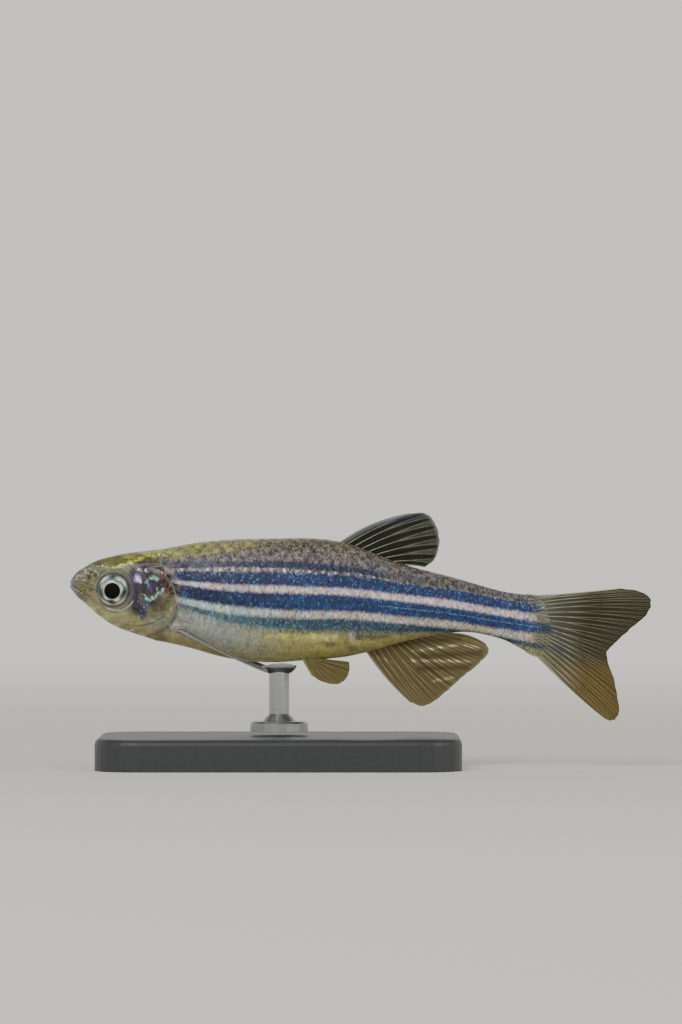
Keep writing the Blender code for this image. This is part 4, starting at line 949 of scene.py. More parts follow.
draw = np.random.default_rng(11)
for name, side in (("scales_left", -1), ("scales_right", 1)):
    roots = []
    for row in range(SCALE_ROWS):
        share = (row + 0.5) / SCALE_ROWS
        x0 = FIRST_SCALE_X + (0.5 * SCALE_PITCH if row % 2 else 0.0)
        while x0 < LAST_SCALE_X:
            shrink = 1 - TAIL_SHRINK * float(ease(2.0, 12.0, x0))
            z0 = body_surface(x0, girth_angle(np.array(x0), np.array(share)))[2]
            behind_cover = ring_value(x0, z0, MARGIN_CENTRE, MARGIN_RADII) > 1.2
            bare_breast = x0 < BREAST_END_X and z0 < BREAST_TOP
            if behind_cover and (x0 > -13.2 or z0 > 2.6) and not bare_breast:
                roots.append((x0, share, shrink, draw.uniform(0.95, 1.05), draw.random()))
            x0 += SCALE_PITCH * shrink
    x0, share, shrink, size, tone = (values[:, None, None] for values in np.array(roots).T)
    t = np.array(STEPS_ALONG)[None, :, None]
    b = np.linspace(-1, 1, STEPS_WIDE)[None, None, :]
    spread = np.sqrt(np.maximum(0.0, 1 - ((t - SCALE_MIDDLE) / SCALE_ROUNDING) ** 2))
    x = x0 + (t - 0.5) * SCALE_PITCH * SCALE_LENGTH * shrink * size - 0.06 * (1 - t) * b * b
    across = np.clip(share + b * spread * SCALE_WIDTH / SCALE_ROWS * size, 0.002, 0.998)
    angle = girth_angle(x, across)
    angle = angle if side < 0 else math.pi - angle
    flat = body_surface(x, angle)
    out = surface_normal(x, angle)
    calm = 1 - BELLY_CALM * ease(0.48, 0.7, across)
    lift = -COAT_DEPTH + SCALE_RISE * calm * t**1.5 - 0.005 * calm * b * b
    top = flat + out * lift[..., None]
    under = top - out * SCALE_THICKNESS
    corners = np.stack([top, under], 1)
    flats = np.stack([flat, flat], 1)
    u = (x0 - SNOUT_X) / MAP_LENGTH + (t - 0.5) * MAP_SCALE[0]
    v = MAP_SIDES[side > 0] + MAP_GIRTH * share + b * MAP_SCALE[1]
    u, v = (np.broadcast_to(values, flat.shape[:3]) for values in (u, v))
    uvs = np.stack([np.stack([u, v], -1)] * 2, 1).reshape(-1, 2)
    tones = np.broadcast_to(tone[:, None], corners.shape[:4]).ravel()
    reaches = np.broadcast_to(t[:, None], corners.shape[:4]).ravel()
    count = STEPS_LONG * STEPS_WIDE
    rim = list(range(STEPS_WIDE))
    rim += [i * STEPS_WIDE + STEPS_WIDE - 1 for i in range(1, STEPS_LONG)]
    rim += [(STEPS_LONG - 1) * STEPS_WIDE + j for j in range(STEPS_WIDE - 2, -1, -1)]
    rim += [i * STEPS_WIDE for i in range(STEPS_LONG - 2, 0, -1)]
    one = []
    for i in range(STEPS_LONG - 1):
        for j in range(STEPS_WIDE - 1):
            q = i * STEPS_WIDE + j
            one.append((q, q + 1, q + STEPS_WIDE + 1, q + STEPS_WIDE))
            one.append(tuple(count + k for k in (q, q + STEPS_WIDE, q + STEPS_WIDE + 1, q + 1)))
    one += [(q, p, p + count, q + count) for p, q in zip(rim, rim[1:] + rim[:1])]
    if side > 0:
        one = [face[::-1] for face in one]
    faces = [tuple(k + 2 * count * i for k in face) for i in range(len(roots)) for face in one]
    coat = built(name, swum(corners.reshape(-1, 3)), faces, fish_skin, uvs)
    mark(coat.data, flats.reshape(-1, 3), tones, reaches)
    bpy.ops.object.select_all(action="DESELECT")
    coat.select_set(True)
    bpy.context.view_layer.objects.active = coat
    bpy.ops.object.shade_smooth_by_angle(angle=math.radians(40))

# Eyes.
# A shallow glassy ball set deep in each orbit: a black lens opening in a silver iris with dusky
# patches, under one clear cornea. The iris is drawn in rings and patches round its middle, with
# painted highlights among the patches and its outer rim painted lighter against the shade round the ball.
EYE_Y, EYE_TURN = 1.3, math.radians(7.0)
EYE_PROFILE = (
    (0.0, 0.0, 0.90), (0.08, 0.3, 0.885), (0.15, 0.53, 0.84), (0.22, 0.68, 0.79), (0.32, 0.88, 0.67),
    (0.42, 1.05, 0.46), (0.5, 1.12, 0.24), (0.6, 1.13, 0.0), (0.8, 0.8, -0.5), (1.0, 0.0, -0.75),
)
PUPIL_SHIFT, PUPIL_EDGE, IRIS_EDGE = (0.0, -0.06), 0.62, 1.14
THREAD_SIZE = 0.12
# The last rings, on the ball's rim and back, are painted lighter to offset the shade of the crevice round the
# ball.
IRIS_RINGS = (
    (0.52, "#010102"), (0.55, "#0A0B0C"), (0.572, "#8F9792"), (0.59, "#D6DBD7"), (0.615, "#A0A8A3"),
    (0.66, "#68716C"), (0.76, "#4A5450"), (0.86, "#515B58"), (0.94, "#56605C"), (0.985, "#8C958F"),
    (1.04, "#A2A8A0"), (1.08, "#A0A49A"), (1.14, "#8C8D84"),
)
# Patches of the iris, the near-white ones painted highlights on its silver: hex, the angle of the
# middle and the width in degrees, radius and depth.
IRIS_PATCHES_AND_HIGHLIGHTS = (
    ("#2F4C50", 178, 36, 0.93, 0.12), ("#4A5440", -158, 16, 0.90, 0.10), ("#B8C0B6", 158, 13, 0.76, 0.07),
    ("#25303E", 86, 24, 0.95, 0.11), ("#303C48", 92, 16, 0.72, 0.09), ("#2A2E28", -94, 17, 0.80, 0.11),
    ("#47473A", -112, 12, 0.80, 0.09), ("#2C2838", -12, 12, 0.82, 0.11), ("#4C4C48", -38, 12, 0.80, 0.09),
    ("#F2F6F0", 128, 17, 0.92, 0.10), ("#E9EFE9", 58, 14, 0.87, 0.09), ("#DFE6E0", 34, 13, 0.94, 0.07),
    ("#F8FCFA", 14, 22, 0.62, 0.09), ("#F4F9F6", -64, 13, 0.73, 0.12), ("#F6F8EE", -56, 20, 0.99, 0.08),
    ("#E6E8DA", -120, 18, 0.99, 0.07), ("#E9EBDC", -128, 14, 0.72, 0.06), ("#D4DAD4", 140, 26, 0.63, 0.05),
)
# Cornea over a silvered iris: hard, clear and very smooth, with the shine of a wet lens.
eye_look, tree, shader = new_material("silver iris under clear cornea")
iris = node(tree, "ShaderNodeAttribute", attribute_name="iris").outputs["Color"]
place = node(tree, "ShaderNodeTexCoord").outputs["Object"]
threads = node(
    tree, "ShaderNodeTexNoise", {"Vector": place, "Scale": 1 / (THREAD_SIZE * MM), "Detail": 3.0}
).outputs["Fac"]
gain = node(
    tree, "ShaderNodeMapRange",
    {"Value": threads, "From Min": 0.3, "From Max": 0.7, "To Min": 0.8, "To Max": 1.12},
).outputs["Result"]
iris = node(tree, "ShaderNodeVectorMath", {0: iris, "Scale": gain}, operation="SCALE").outputs[0]
tree.links.new(iris, shader.inputs["Base Color"])
shader.inputs["Metallic"].default_value = 0.25
shader.inputs["Roughness"].default_value = 0.32
shader.inputs["Specular IOR Level"].default_value = 0.05
shader.inputs["Coat Weight"].default_value = 0.2
shader.inputs["Coat Roughness"].default_value = 0.03

for name, side in (("eye_left", -1), ("eye_right", 1)):
    bpy.ops.mesh.primitive_uv_sphere_add(segments=96, ring_count=60, radius=1.0)
    eye = bpy.context.object
    eye.name = f"{name}_ball"
    place = corners_of(eye.data)
    share = np.arccos(np.clip(place[:, 2], -1, 1)) / math.pi
    turn = np.arctan2(place[:, 1], place[:, 0])
    radius = along([(s, r) for s, r, _ in EYE_PROFILE], share)
    height = along([(s, h) for s, _, h in EYE_PROFILE], share)
    local_x, local_z = radius * np.cos(turn), radius * np.sin(turn)
    out_x, out_y = -math.sin(EYE_TURN), side * math.cos(EYE_TURN)
    points = np.stack([
        EYE_X + local_x * math.cos(EYE_TURN) + height * out_x,
        side * EYE_Y + local_x * side * math.sin(EYE_TURN) + height * out_y,
        EYE_Z + local_z,
    ], -1)
    eye.data.vertices.foreach_set("co", swum(points).ravel())
    pupil = np.hypot(local_x - PUPIL_SHIFT[0], local_z - PUPIL_SHIFT[1])
    on_iris = np.where(pupil > PUPIL_EDGE, radius, 0)
    ring = np.where(share > 0.6, IRIS_EDGE, np.maximum(np.minimum(pupil, PUPIL_EDGE), on_iris))
    shade = graded(ring, IRIS_RINGS)
    for code, middle, wide, at, deep in IRIS_PATCHES_AND_HIGHLIGHTS:
        off = np.abs((np.degrees(turn) - middle + 180) % 360 - 180) / wide
        cover = np.exp(-off**2 * 0.8 - ((radius - at) / deep) ** 2) * (ring > 0.64) * (share < 0.55)
        shade = covered(shade, code, np.clip(1.15 * cover, 0, 1))
    store(eye.data, "iris", np.concatenate([shade, np.ones((len(shade), 1))], 1))
    bpy.ops.object.mode_set(mode="EDIT")
    bpy.ops.mesh.select_all(action="SELECT")
    bpy.ops.mesh.normals_make_consistent(inside=False)
    bpy.ops.object.mode_set(mode="OBJECT")
    bpy.ops.object.shade_smooth()
    eye.data.materials.append(eye_look)
    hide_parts(name)
    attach(eye, "root")

# Barbels.
# Soft feelers of skin: a very short pair on the snout and a longer pair at the corners of the
# mouth, each rooted in the lip and swept back along the jaw.
BARBELS = (("snout_barbel", (-19.35, 2.3), 1.3, 0.5), ("jaw_barbel", (-18.95, 1.35), 1.9, 0.85))
BARBEL_ROOT, BARBEL_TIP, BARBEL_SIDES, TUBE_SIDES = 0.075, 0.02, 8, 6


def strand(points, radii, sides=TUBE_SIDES, flatness=1.0):
    """Corners and faces of a closed tapering tube along points in millimetres."""
    points = np.asarray(points, float)
    tangent = np.gradient(points, axis=0)
    tangent /= np.linalg.norm(tangent, axis=1, keepdims=True)
    inplane = np.cross(tangent, (0.0, 1.0, 0.0))
    inplane /= np.maximum(np.linalg.norm(inplane, axis=1, keepdims=True), 1e-9)
    through = np.cross(inplane, tangent)
    angles = 2 * math.pi * np.arange(sides) / sides
    radii = np.asarray(radii)[:, None]
    corners = np.stack([
        points + inplane * math.cos(angle) * radii + through * math.sin(angle) * flatness * radii
        for angle in angles
    ], 1).reshape(-1, 3)
    faces = []
    for i in range(len(points) - 1):
        for k in range(sides):
            n = (k + 1) % sides
            faces.append((i * sides + k, i * sides + n, (i + 1) * sides + n, (i + 1) * sides + k))
    faces.append(tuple(range(sides))[::-1])
    last = (len(points) - 1) * sides
    faces.append(tuple(last + k for k in range(sides)))
    return corners, faces


def flank_at(x, z):
    """Half width of the body at side-view points."""
    angles = np.linspace(-math.pi / 2, math.pi / 2, 181)
    outline = body_surface(np.full_like(angles, x), angles)
    return float(np.interp(z, outline[:, 2], outline[:, 1]))


# Living skin without scales: thin, moist and a little clear.
barbel_skin, tree, shader = new_material("moist barbel skin")
place = node(tree, "ShaderNodeTexCoord").outputs["Object"]
cloud = node(
    tree, "ShaderNodeTexNoise", {"Vector": place, "Scale": 1 / (0.2 * MM), "Detail": 2.0}
).outputs["Fac"]
tint = node(
    tree, "ShaderNodeMix", {0: cloud, 6: colour("#5F593F"), 7: colour("#837C5C")}, data_type="RGBA"
).outputs[2]
tree.links.new(tint, shader.inputs["Base Color"])
shader.inputs["Roughness"].default_value = 0.35
shader.inputs["Coat Weight"].default_value = 0.1

for name, (bx, bz), reach, drop in BARBELS:
    for label, side in (("left", -1), ("right", 1)):
        t = np.linspace(0, 1, 16)
        path_x = bx + reach * t
        path_z = bz - drop * t * (1.3 - 0.3 * t)
        clear = 0.16 * np.sin(np.minimum(t * 2.2, 1) * math.pi / 2) - 0.08
        path_y = side * (np.array([flank_at(px, pz) for px, pz in zip(path_x, path_z)]) + clear)
        corners, faces = strand(
            np.stack([path_x, path_y, path_z], -1), BARBEL_ROOT + (BARBEL_TIP - BARBEL_ROOT) * t, BARBEL_SIDES
        )
        built(f"{name}_{label}", swum(corners), faces, barbel_skin)

# Fins.
# Clear webs of skin on bony rays. The rays are jointed all along and fork towards the margin,
# and each fin is a fan from its root on the body out to its own margin.
WEB_THICKNESS = 0.03
RAY_RADIUS, RAY_TIP = 0.056, 0.024
JOINT_SPACING, STEPS_A_JOINT, JOINT_PINCH = 0.27, 5, 0.1
FORKS = (0.40, 0.74)
WEB_COLUMNS_A_RAY, WEB_ROWS, WEB_NOTCH = 6, 44, 0.012
PIGMENT_SIZE, WEB_CLOUD_SIZE, RAY_CLOUD_SIZE = 0.16, 0.5, 0.4
STRAIGHT = ((0.0, 0.0, 0.0), (0.0, 0.0, 0.0))
LEAD_THICKNESS = 1.5


def fan(roots, tips, bows, mirror):
    """A function from (across, out) to points in millimetres, for a fin spread from roots to tips."""
    def axes(points, t):
        counted = np.linspace(0, 1, len(points))
        return np.stack([along(list(zip(counted, axis)), t) for axis in zip(*points)], -1)

    def spread(across, out):
        across, out = np.broadcast_arrays(np.clip(across, 0, 1), out)
        root, tip, bow = axes(roots, across), axes(tips, across), axes(bows, across)
        point = root + (tip - root) * out[..., None] + bow * (4 * out * (1 - out))[..., None]
        return point * np.array((1, mirror, 1))

    return spread


def joined(tubes):
    """Corners and faces of several tubes as those of one mesh."""
    corners, faces = [], []
    count = 0
    for tube, tube_faces in tubes:
        corners.append(tube)
        faces.extend(tuple(count + k for k in face) for face in tube_faces)
        count += len(tube)
    return np.concatenate(corners), faces


def tinted(mesh, tint, joints=0.0, lanes=0.0):
    """Stores fin colours, the joints of rays and the count of rays crossed on vertices."""
    for name, values in (("tint", tint), ("joint", joints), ("lane", lanes)):
        store(mesh, name, values)


def layered(first, *others):
    """A tint for each point: a (hex, strength) layer with the others laid over it in turn."""
    shade, total = np.array(colour(first[0])[:3]), np.array([first[1]])
    for code, strength in others:
        strength = np.asarray(strength, float)[..., None]
        both = total + strength - total * strength
        laid = np.array(colour(code)[:3]) * strength
        shade = (shade * total * (1 - strength) + laid) / np.maximum(both, 1e-6)
        total = both
    return np.concatenate([shade, total], -1)


# Fin web: two layers of clear skin with scattered dark pigment cells between them.
fin_web, tree, shader = new_material("clear fin web")
place = node(tree, "ShaderNodeTexCoord").outputs["Object"]
tint = node(tree, "ShaderNodeAttribute", attribute_name="tint")
lane = node(tree, "ShaderNodeAttribute", attribute_name="lane").outputs["Fac"]
cloud = node(
    tree, "ShaderNodeTexNoise", {"Vector": place, "Scale": 1 / (WEB_CLOUD_SIZE * MM), "Detail": 4.0}
).outputs["Fac"]
pigment = node(
    tree, "ShaderNodeTexVoronoi", {"Vector": place, "Scale": 1 / (PIGMENT_SIZE * MM)}
).outputs["Distance"]
fibres = node(
    tree, "ShaderNodeTexNoise", {"W": lane, "Scale": 2.6, "Detail": 2.0}, noise_dimensions="1D"
).outputs["Fac"]
dots, fibred = (
    node(
        tree, "ShaderNodeMapRange",
        {"Value": value, "From Min": low, "From Max": high, "To Min": first, "To Max": last},
    ).outputs["Result"]
    for value, low, high, first, last in ((pigment, 0.12, 0.3, 0.5, 0.0), (fibres, 0.3, 0.7, 0.7, 1.4))
)
web = colour("#3A3628")
for share, layer in (
    (cloud, colour("#565140")), (dots, colour("#2B2A28")), (tint.outputs["Alpha"], tint.outputs["Color"]),
):
    web = node(tree, "ShaderNodeMix", {0: share, 6: web, 7: layer}, data_type="RGBA").outputs[2]
web = node(tree, "ShaderNodeVectorMath", {0: web, "Scale": fibred}, operation="SCALE").outputs[0]
tree.links.new(web, shader.inputs["Base Color"])
shader.inputs["Roughness"].default_value = 0.45
shader.inputs["Specular IOR Level"].default_value = 0.12
shader.inputs["Alpha"].default_value = 0.95

# Fin rays: stacks of short bony joints under thin skin, pale and a little clear.
fin_ray, tree, shader = new_material("jointed fin ray")
place = node(tree, "ShaderNodeTexCoord").outputs["Object"]
tint = node(tree, "ShaderNodeAttribute", attribute_name="tint")
joint = node(tree, "ShaderNodeAttribute", attribute_name="joint").outputs["Fac"]
cloud = node(
    tree, "ShaderNodeTexNoise", {"Vector": place, "Scale": 1 / (RAY_CLOUD_SIZE * MM), "Detail": 3.0}
).outputs["Fac"]
seam = node(tree, "ShaderNodeMath", {0: joint, 1: 0.4}, operation="MULTIPLY").outputs[0]
bone = colour("#A29C86")
for share, layer in (
    (cloud, colour("#CFCAB6")), (seam, colour("#6A6554")), (tint.outputs["Alpha"], tint.outputs["Color"]),
):
    bone = node(tree, "ShaderNodeMix", {0: share, 6: bone, 7: layer}, data_type="RGBA").outputs[2]
tree.links.new(bone, shader.inputs["Base Color"])
shader.inputs["Roughness"].default_value = 0.36
shader.inputs["Specular IOR Level"].default_value = 0.3
shader.inputs["Coat Weight"].default_value = 0.1


def fin(
    name, roots, tips, rays, replaced, paint_fin, bows=STRAIGHT, mirror=1, thick=1.0, sink=0.5, forks=FORKS,
):
    """The web and the rays of one fin. paint_fin gives a tint for (points, across, out, is_ray)."""
    spread = fan(roots, tips, bows, mirror)
    length = np.linalg.norm(spread(0.5, 1.0) - spread(0.5, 0.0))
    start = -sink / length
    gaps = rays - 1
    columns = gaps * WEB_COLUMNS_A_RAY
    bpy.ops.mesh.primitive_grid_add(x_subdivisions=columns, y_subdivisions=WEB_ROWS, size=1.0)
    web = bpy.context.object
    web.name = f"{name}_web"
    across, share, _ = corners_of(web.data).T + 0.5
    between = 0.5 - 0.5 * np.cos(2 * math.pi * across * gaps)
    out = start + (1 - WEB_NOTCH * between * (0.5 + 0.5 * np.sin(across * 37.0)) - start) * share
    points = spread(across, out)
    tinted(web.data, paint_fin(points, across, out, False), lanes=across * gaps)
    web.data.vertices.foreach_set("co", swum(points).ravel())
    bpy.ops.object.mode_set(mode="EDIT")
    bpy.ops.mesh.select_all(action="SELECT")
    bpy.ops.mesh.quads_convert_to_tris()
    bpy.ops.object.mode_set(mode="OBJECT")
    solid = web.modifiers.new("web thickness", "SOLIDIFY")
    solid.thickness, solid.offset = WEB_THICKNESS * thick * MM, 0.0
    bpy.ops.object.modifier_apply(modifier=solid.name)
    bpy.ops.object.shade_smooth()
    web.data.materials.append(fin_web)
    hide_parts(*replaced)
    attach(web, "root")

    tubes, joints, acrosses, outs = [], [], [], []

    def bone_strand(middle, off_from, off_to, t_from, t_to, r_from, r_to):
        """One bone of a ray, led aside by shares of the gap between two rays."""
        reach = np.linalg.norm(spread(middle, t_to) - spread(middle, max(t_from, 0.0)))
        steps = max(5, int(reach / JOINT_SPACING * STEPS_A_JOINT))
        t = np.linspace(t_from, t_to, steps)
        share = (t - t_from) / (t_to - t_from)
        where = middle + (off_from + (off_to - off_from) * share) / gaps
        pinch = np.where(np.arange(steps) % STEPS_A_JOINT == 0, 1.0, 0.0)
        radii = (r_from + (r_to - r_from) * share) * thick * (1 - JOINT_PINCH * pinch)
        tubes.append(strand(spread(where, t), radii, flatness=0.9))
        for values, at_steps in ((joints, pinch), (acrosses, where), (outs, t)):
            values.append(np.repeat(at_steps, TUBE_SIDES))

    for k in range(rays):
        middle = k / gaps
        if k in (0, gaps):
            inward, lead = (0.12, LEAD_THICKNESS) if k == 0 else (-0.12, 1.0)
            radii = RAY_RADIUS * lead, RAY_TIP * 1.2 * lead
            bone_strand(middle, inward * 0.5, inward * 0.3, start, 0.985, *radii)
            continue
        bone_strand(middle, 0, 0, start, forks[0] + 0.05, RAY_RADIUS, RAY_RADIUS * 0.6)
        for way in (-1, 1):
            bone_strand(middle, 0, 0.2 * way, forks[0], forks[1] + 0.02, RAY_RADIUS * 0.68, RAY_RADIUS * 0.6)
            for twig in (-1, 1):
                twig_end = 0.25 * way + 0.11 * twig
                bone_strand(middle, 0.19 * way, twig_end, forks[1], 0.99, RAY_RADIUS * 0.5, RAY_TIP)
    corners, faces = joined(tubes)
    bones = built(f"{name}_rays", swum(corners), faces, fin_ray)
    tint = paint_fin(corners, np.concatenate(acrosses), np.concatenate(outs), True)
    tinted(bones.data, tint, np.concatenate(joints))


# Dorsal fin.
# A single short fin behind the middle of the back, nine rays, held open. Its leading ray and its
# margin are the palest.
DORSAL_ROOTS = [(x, 0.0, float(along(BACK, x))) for x in (-1.31, 0.0, 1.35, 3.22)]
DORSAL_TIPS = [
    (3.5, 0, 7.0), (4.37, 0, 7.04), (4.85, 0, 6.75), (5.23, 0, 6.13), (5.44, 0, 5.37),
    (5.39, 0, 4.59), (5.04, 0, 3.76), (4.42, 0, 3.29),
]
DORSAL_BOWS = ((-0.12, 0, 0.28), (0.0, 0, 0.14), (0, 0, 0.04))


def dorsal_tint(points, across, out, is_ray):
    """Nearly black, with a pale leading ray and margin, brushed rays and navy behind the front."""
    margin = ease(0.94, 1.0, out) * (1 - 0.45 * across)
    front = 1 - ease(0.05, 0.11, across)
    pale = np.maximum(front * (0.55 + 0.45 * ease(0.4, 0.7, out)), margin)
    lane = np.abs(across * 8 - np.round(across * 8))
    brush = (1 - ease(0.15, 0.36, lane)) * ease(0.25, 0.6, out)
    navy = bell(across, 0.16, 0.07) * ease(0.4, 0.7, out) * (1 - ease(0.9, 0.97, out))
    return layered(
        ("#44473A" if is_ray else "#14160D", 0.95),
        ("#7C7F70", 0.75 * (1 - ease(0.1, 0.8, out)) + 0.1) if is_ray else ("#3E4232", 0.8 * brush),
        ("#1C2038", 0.85 * navy),
        ("#85888A", pale * (0.9 if is_ray else 0.7)),
    )


fin("dorsal_fin", DORSAL_ROOTS, DORSAL_TIPS, 9, ["dorsal_fin"], dorsal_tint, bows=DORSAL_BOWS)

# Anal fin.
# A long-based fin behind the vent, about fourteen rays, with rows of cream dashes that run along
# the fish across the rays.
ANAL_ROOTS = [(x, 0.0, float(along(BELLY, x))) for x in (0.49, 2.2, 4.0, 6.1)]
ANAL_TIPS = [
    (3.48, 0, -6.02), (4.21, 0, -6.27), (4.91, 0, -6.04), (5.96, 0, -5.23), (6.85, 0, -4.41),
    (7.72, 0, -3.72), (8.43, 0, -3.08), (8.85, 0, -2.48), (8.64, 0, -2.0),
]
ANAL_BOWS = ((-0.1, 0, -0.12), (0.0, 0, -0.16), (0, 0, -0.08), (0, 0, 0.02), (0.05, 0, 0.24))
# The cream dashes and the dusk between them: from and to in the side view, half width, strength.
ANAL_ROWS = (
    ((3.3, -2.52), (7.2, -2.0), 0.08, 1.0), ((7.0, -2.02), (8.3, -2.3), 0.08, 0.8),
    ((3.0, -3.12), (8.0, -3.2), 0.08, 1.0), ((4.9, -4.55), (6.6, -4.27), 0.1, 0.9),
    ((1.1, -2.85), (2.4, -3.35), 0.1, 0.5),
)
ANAL_BANDS = (
    ((2.2, -2.0), (6.8, -1.65), 0.22), ((4.2, -2.85), (8.2, -2.6), 0.22), ((4.0, -3.7), (7.4, -3.6), 0.2),
)
ANAL_FORKS = (0.22, 0.5)


def anal_tint(points, across, out, is_ray):
    """Brown, with rows of cream dashes on the rays, dusk between them and a pale margin."""
    x, z = points[:, 0], points[:, 2]
    dash, dusk = np.zeros(len(points)), np.zeros(len(points))
    for start, end, wide, most in ANAL_ROWS:
        off, share = to_line(x, z, start, end)
        row = bell(off + 0.04 * wobble(x, z, 0.2), 0, wide)
        dash = np.maximum(dash, most * row * ease(0.0, 0.15, share) * (1 - ease(0.8, 1.0, share)))
    for start, end, wide in ANAL_BANDS:
        dusk = np.maximum(dusk, bell(to_line(x, z, start, end)[0], 0, wide))
    return layered(
        ("#746A49" if is_ray else "#5A5030", 0.92),
        ("#8E835C", 0.3 * (1 - out) * is_ray),
        ("#33281A", 0.6 * dusk),
        ("#8F8560", 0.5 * ease(0.95, 1.0, out)),
        ("#F4ECCC", dash * (1.0 if is_ray else 0.08)),
    )


fin("anal_fin", ANAL_ROOTS, ANAL_TIPS, 14, ["anal_fin"], anal_tint, bows=ANAL_BOWS, forks=ANAL_FORKS)

# Tail fin.
# A deeply forked fin on the end of the stalk, nineteen main rays. The blue stripes run out on its
# root and fade.
FORK_X, FORK_Z = 16.95, -2.62
TAIL_ROOTS = [(11.7, 0, 1.3), (12.5, 0, 0.3), (12.65, 0, -0.86), (12.5, 0, -1.8), (12.05, 0, -2.72)]
TAIL_TIPS = [
    (17.9, 0, 1.84), (19.0, 0, 1.7), (19.76, 0, 1.32), (20.0, 0, 0.8), (19.68, 0, 0.06), (18.93, 0, -0.62),
    (18.19, 0, -1.29), (17.36, 0, -2.04), (FORK_X, 0, FORK_Z), (17.14, 0, -3.6), (17.44, 0, -4.42),
    (17.66, 0, -5.54), (17.78, 0, -6.51), (17.59, 0, -7.09), (17.25, 0, -7.26), (16.85, 0, -7.15),
]
TAIL_BOWS = (
    (0, 0, -0.05), (0, 0, 0.14), (0, 0, 0.12), (0.05, 0, 0.0), (0.12, 0, 0.06), (0.14, 0, 0.06),
    (-0.08, 0, -0.1),
)
TAIL_FORKS, TAIL_GAPS = (0.22, 0.52), 18
# How far each blue stripe runs out on the fin: its band, strength and end.
TAIL_STRIPES = ((2.5, 0.5, 13.1), (4.5, 0.95, 13.4), (6.5, 0.35, 14.2))


def tail_tint(points, across, out, is_ray):
    """Brown and yellower below, paler on the rays near the root, with the ends of the blue stripes."""
    x, z = points[:, 0], points[:, 2]
    ragged = x + 0.3 * np.sin(13.0 * np.round(across * TAIL_GAPS)) + 0.2 * wobble(x, z, 0.35)
    band = stripe_band(x, z)
    blue = np.maximum.reduce([
        much * bell(band, middle, 0.5, 4) * (1 - ease(end - 0.9, end, ragged))
        for middle, much, end in TAIL_STRIPES
    ])
    return layered(
        ("#5A573F" if is_ray else "#2C291B", 0.92),
        ("#7A683C" if is_ray else "#5A4A26", 0.8 * ease(-2.4, -4.2, z)),
        ("#A3A598", (1 - ease(12.8, 16.0, x)) * (0.7 if is_ray else 0.12)),
        ("#A6A593", 0.7 * (1 - ease(0.0, 0.02, across)) * is_ray),
        ("#6C6849", 0.5 * (1 - ease(12.6, 13.4, x))),
        ("#2A344C", blue),
    )


fin(
    "tail_fin", TAIL_ROOTS, TAIL_TIPS, 19, ["tail_fin_upper", "tail_fin_lower"], tail_tint,
    bows=TAIL_BOWS, thick=0.85, sink=0.6, forks=TAIL_FORKS,
)

# Tail ray roots.
# Each main ray splits into two halves that clasp the end of the stalk, one on each flank, and a
# few short rays stand in front of the first ones on the upper and the lower edge.
ROOT_START, ROOT_END, ROOT_STEPS, ROOT_RADIUS = -0.05, 0.13, 12, 0.036
EDGE_RAYS, EDGE_RAY_PITCH = 5, 0.22


def tail_root_strands():
    """Centre lines of the halves of the main rays and of the short edge rays."""
    spread = fan(TAIL_ROOTS, TAIL_TIPS, TAIL_BOWS, 1)
    for k in range(1, TAIL_GAPS):
        path = spread(np.full(ROOT_STEPS, k / TAIL_GAPS), np.linspace(ROOT_START, ROOT_END, ROOT_STEPS))
        for side in (-1, 1):
            half = np.array([flank_at(x, z) if x < TAIL_END_X else 0.0 for x, _, z in path])
            yield np.stack([path[:, 0], side * (half + 0.012), path[:, 2]], -1), k / TAIL_GAPS
    for edge, lean, across in ((BACK, 0.10, 0.0), (BELLY, -0.14, 1.0)):
        for i in range(EDGE_RAYS):
            x = 11.35 + EDGE_RAY_PITCH * i + np.linspace(0, 1.0 + 0.16 * i, ROOT_STEPS)
            reach = np.linspace(0, 1, ROOT_STEPS)
            z = along(edge, np.minimum(x, 12.45)) + lean * reach * (1 + 0.3 * i)
            if across:
                z = z - 0.93 * np.maximum(0, x - 12.3)
            yield np.stack([x, np.zeros(ROOT_STEPS), z], -1), across


paths, shares = zip(*tail_root_strands())
taper = ROOT_RADIUS * (1 - 0.5 * np.linspace(0, 1, ROOT_STEPS))
corners, faces = joined([strand(path, taper) for path in paths])
shares = np.repeat(shares, ROOT_STEPS * TUBE_SIDES)
roots = built("tail_ray_roots", swum(corners), faces, fin_ray)
tinted(roots.data, tail_tint(corners, shares, np.zeros(len(shares)), True))

# Pectoral fins.
# One behind each gill opening, held out and back like a wing, so that the side view sees them
# nearly edge on.
PECTORAL_ROOTS = [(x, -flank_at(x, z), z) for x, z in ((-12.5, -1.04), (-12.36, -0.98), (-12.22, -0.94))]
PECTORAL_TIPS = [
    (-6.4, -4.7, -3.84), (-6.34, -4.1, -3.66), (-7.1, -3.5, -3.4), (-8.3, -3.0, -2.88), (-9.8, -2.6, -2.16),
]
PECTORAL_BOWS = ((0, 0, -0.1), (0, 0, -0.04), (0, 0, 0.0))


def pectoral_tint(points, across, out, is_ray):
    """Grey-brown, darker near the root, with a paler leading ray and margin."""
    lead = 1 - ease(0.0, 0.05, across)
    return layered(
        ("#5C5E58" if is_ray else "#34342E", 0.94),
        ("#2C2A25", 0.7 * ease(0.3, 0.8, across) * (1 - ease(0.35, 0.65, out))),
        ("#8A8D8A", np.maximum(0.5 * lead, 0.5 * ease(0.9, 1.0, out))),
    )


for name, mirror in (("pectoral_fin_left", 1), ("pectoral_fin_right", -1)):
    fin(
        name, PECTORAL_ROOTS, PECTORAL_TIPS, 11, [name], pectoral_tint,
        bows=PECTORAL_BOWS, mirror=mirror, thick=0.75, sink=0.3,
    )

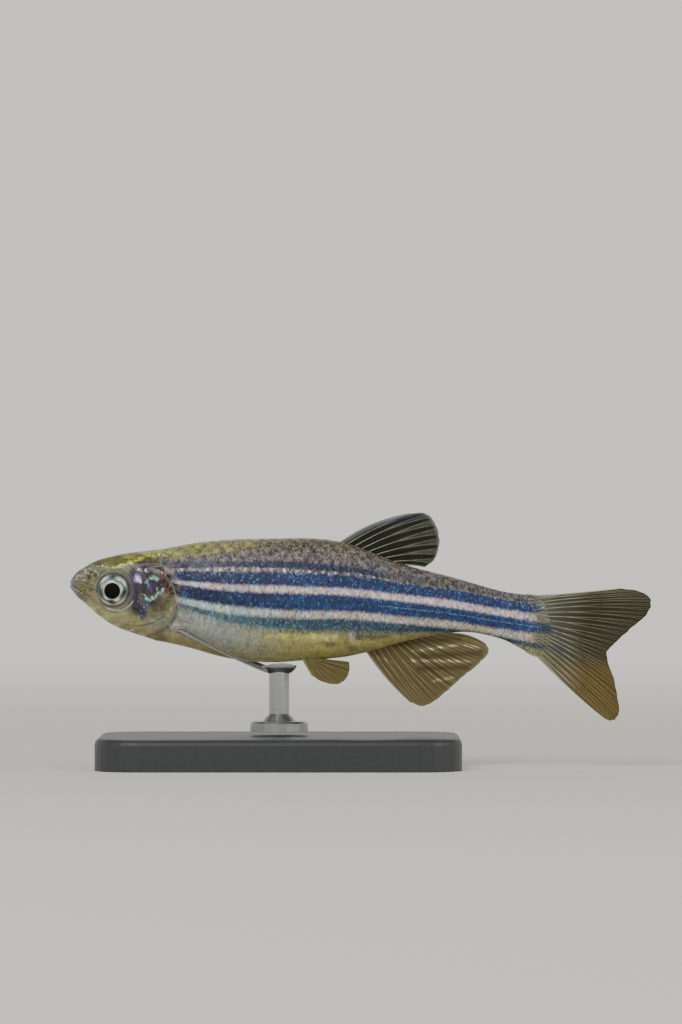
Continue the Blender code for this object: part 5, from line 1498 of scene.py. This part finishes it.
# Pelvic fins.
# A small pair under the belly, eight rays each, splayed a little outwards.
PELVIC_INSET, PELVIC_SPLAY = 0.75, 0.45
PELVIC_ROOTS = [(x, -PELVIC_INSET, float(along(BELLY, x)) + 0.12) for x in (-3.95, -3.6, -3.25)]
PELVIC_TIPS = [
    (x, -PELVIC_INSET - PELVIC_SPLAY * (float(along(BELLY, x)) - z), z)
    for x, z in (
        (-3.34, -4.13), (-2.79, -4.48), (-2.17, -4.68), (-1.62, -4.72), (-1.14, -4.5), (-0.83, -4.05),
        (-0.74, -3.55), (-0.79, -3.25),
    )
]


def pelvic_tint(points, across, out, is_ray):
    """Olive brown, with a paler leading ray and margin."""
    pale = np.maximum(0.6 * (1 - ease(0.0, 0.08, across)), ease(0.94, 1.0, out) * 0.6 * (1 - across))
    return layered(("#5A5024" if is_ray else "#50461C", 0.94), ("#A09468", 0.7 * pale))


for name, mirror in (("pelvic_fin_left", 1), ("pelvic_fin_right", -1)):
    fin(name, PELVIC_ROOTS, PELVIC_TIPS, 8, [name], pelvic_tint, mirror=mirror, sink=0.35)

# Stand base.
# A cast resin plate with rounded corners, satin from fine abrasive.
GRIT_MARK_SIZE = 0.25
resin, tree, shader = new_material("satin cast resin")
place = node(tree, "ShaderNodeTexCoord").outputs["Object"]
grit = node(
    tree, "ShaderNodeTexNoise", {"Vector": place, "Scale": 1 / (GRIT_MARK_SIZE * MM), "Detail": 4.0}
).outputs["Fac"]
dark = node(
    tree, "ShaderNodeMix", {0: grit, 6: colour("#26282A"), 7: colour("#34373A")}, data_type="RGBA"
).outputs[2]
tree.links.new(dark, shader.inputs["Base Color"])
sheen = node(tree, "ShaderNodeMapRange", {"Value": grit, "To Min": 0.38, "To Max": 0.52}).outputs["Result"]
tree.links.new(sheen, shader.inputs["Roughness"])
bump = node(tree, "ShaderNodeBump", {"Height": grit, "Strength": 0.15, "Distance": 0.00002})
tree.links.new(bump.outputs["Normal"], shader.inputs["Normal"])
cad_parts["stand_base"].data.materials.clear()
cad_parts["stand_base"].data.materials.append(resin)

# Stand rod.
# A turned steel pin on a round foot, brushed round its axis, with a small pad under the belly.
BRUSH_MARK = (3, 0.06)
steel, tree, shader = new_material("brushed steel")
place = node(tree, "ShaderNodeTexCoord").outputs["Object"]
rings = node(tree, "ShaderNodeMapping", {"Vector": place, "Scale": upright(*BRUSH_MARK)}).outputs["Vector"]
brushing = node(tree, "ShaderNodeTexNoise", {"Vector": rings, "Scale": 1.0, "Detail": 3.0}).outputs["Fac"]
steel_tone = node(
    tree, "ShaderNodeMix", {0: brushing, 6: colour("#8E9194"), 7: colour("#B9BCBE")}, data_type="RGBA"
).outputs[2]
tree.links.new(steel_tone, shader.inputs["Base Color"])
shader.inputs["Metallic"].default_value = 1.0
rubbed = node(
    tree, "ShaderNodeMapRange", {"Value": brushing, "To Min": 0.22, "To Max": 0.42}
).outputs["Result"]
tree.links.new(rubbed, shader.inputs["Roughness"])
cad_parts["stand_rod"].data.materials.clear()
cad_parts["stand_rod"].data.materials.append(steel)
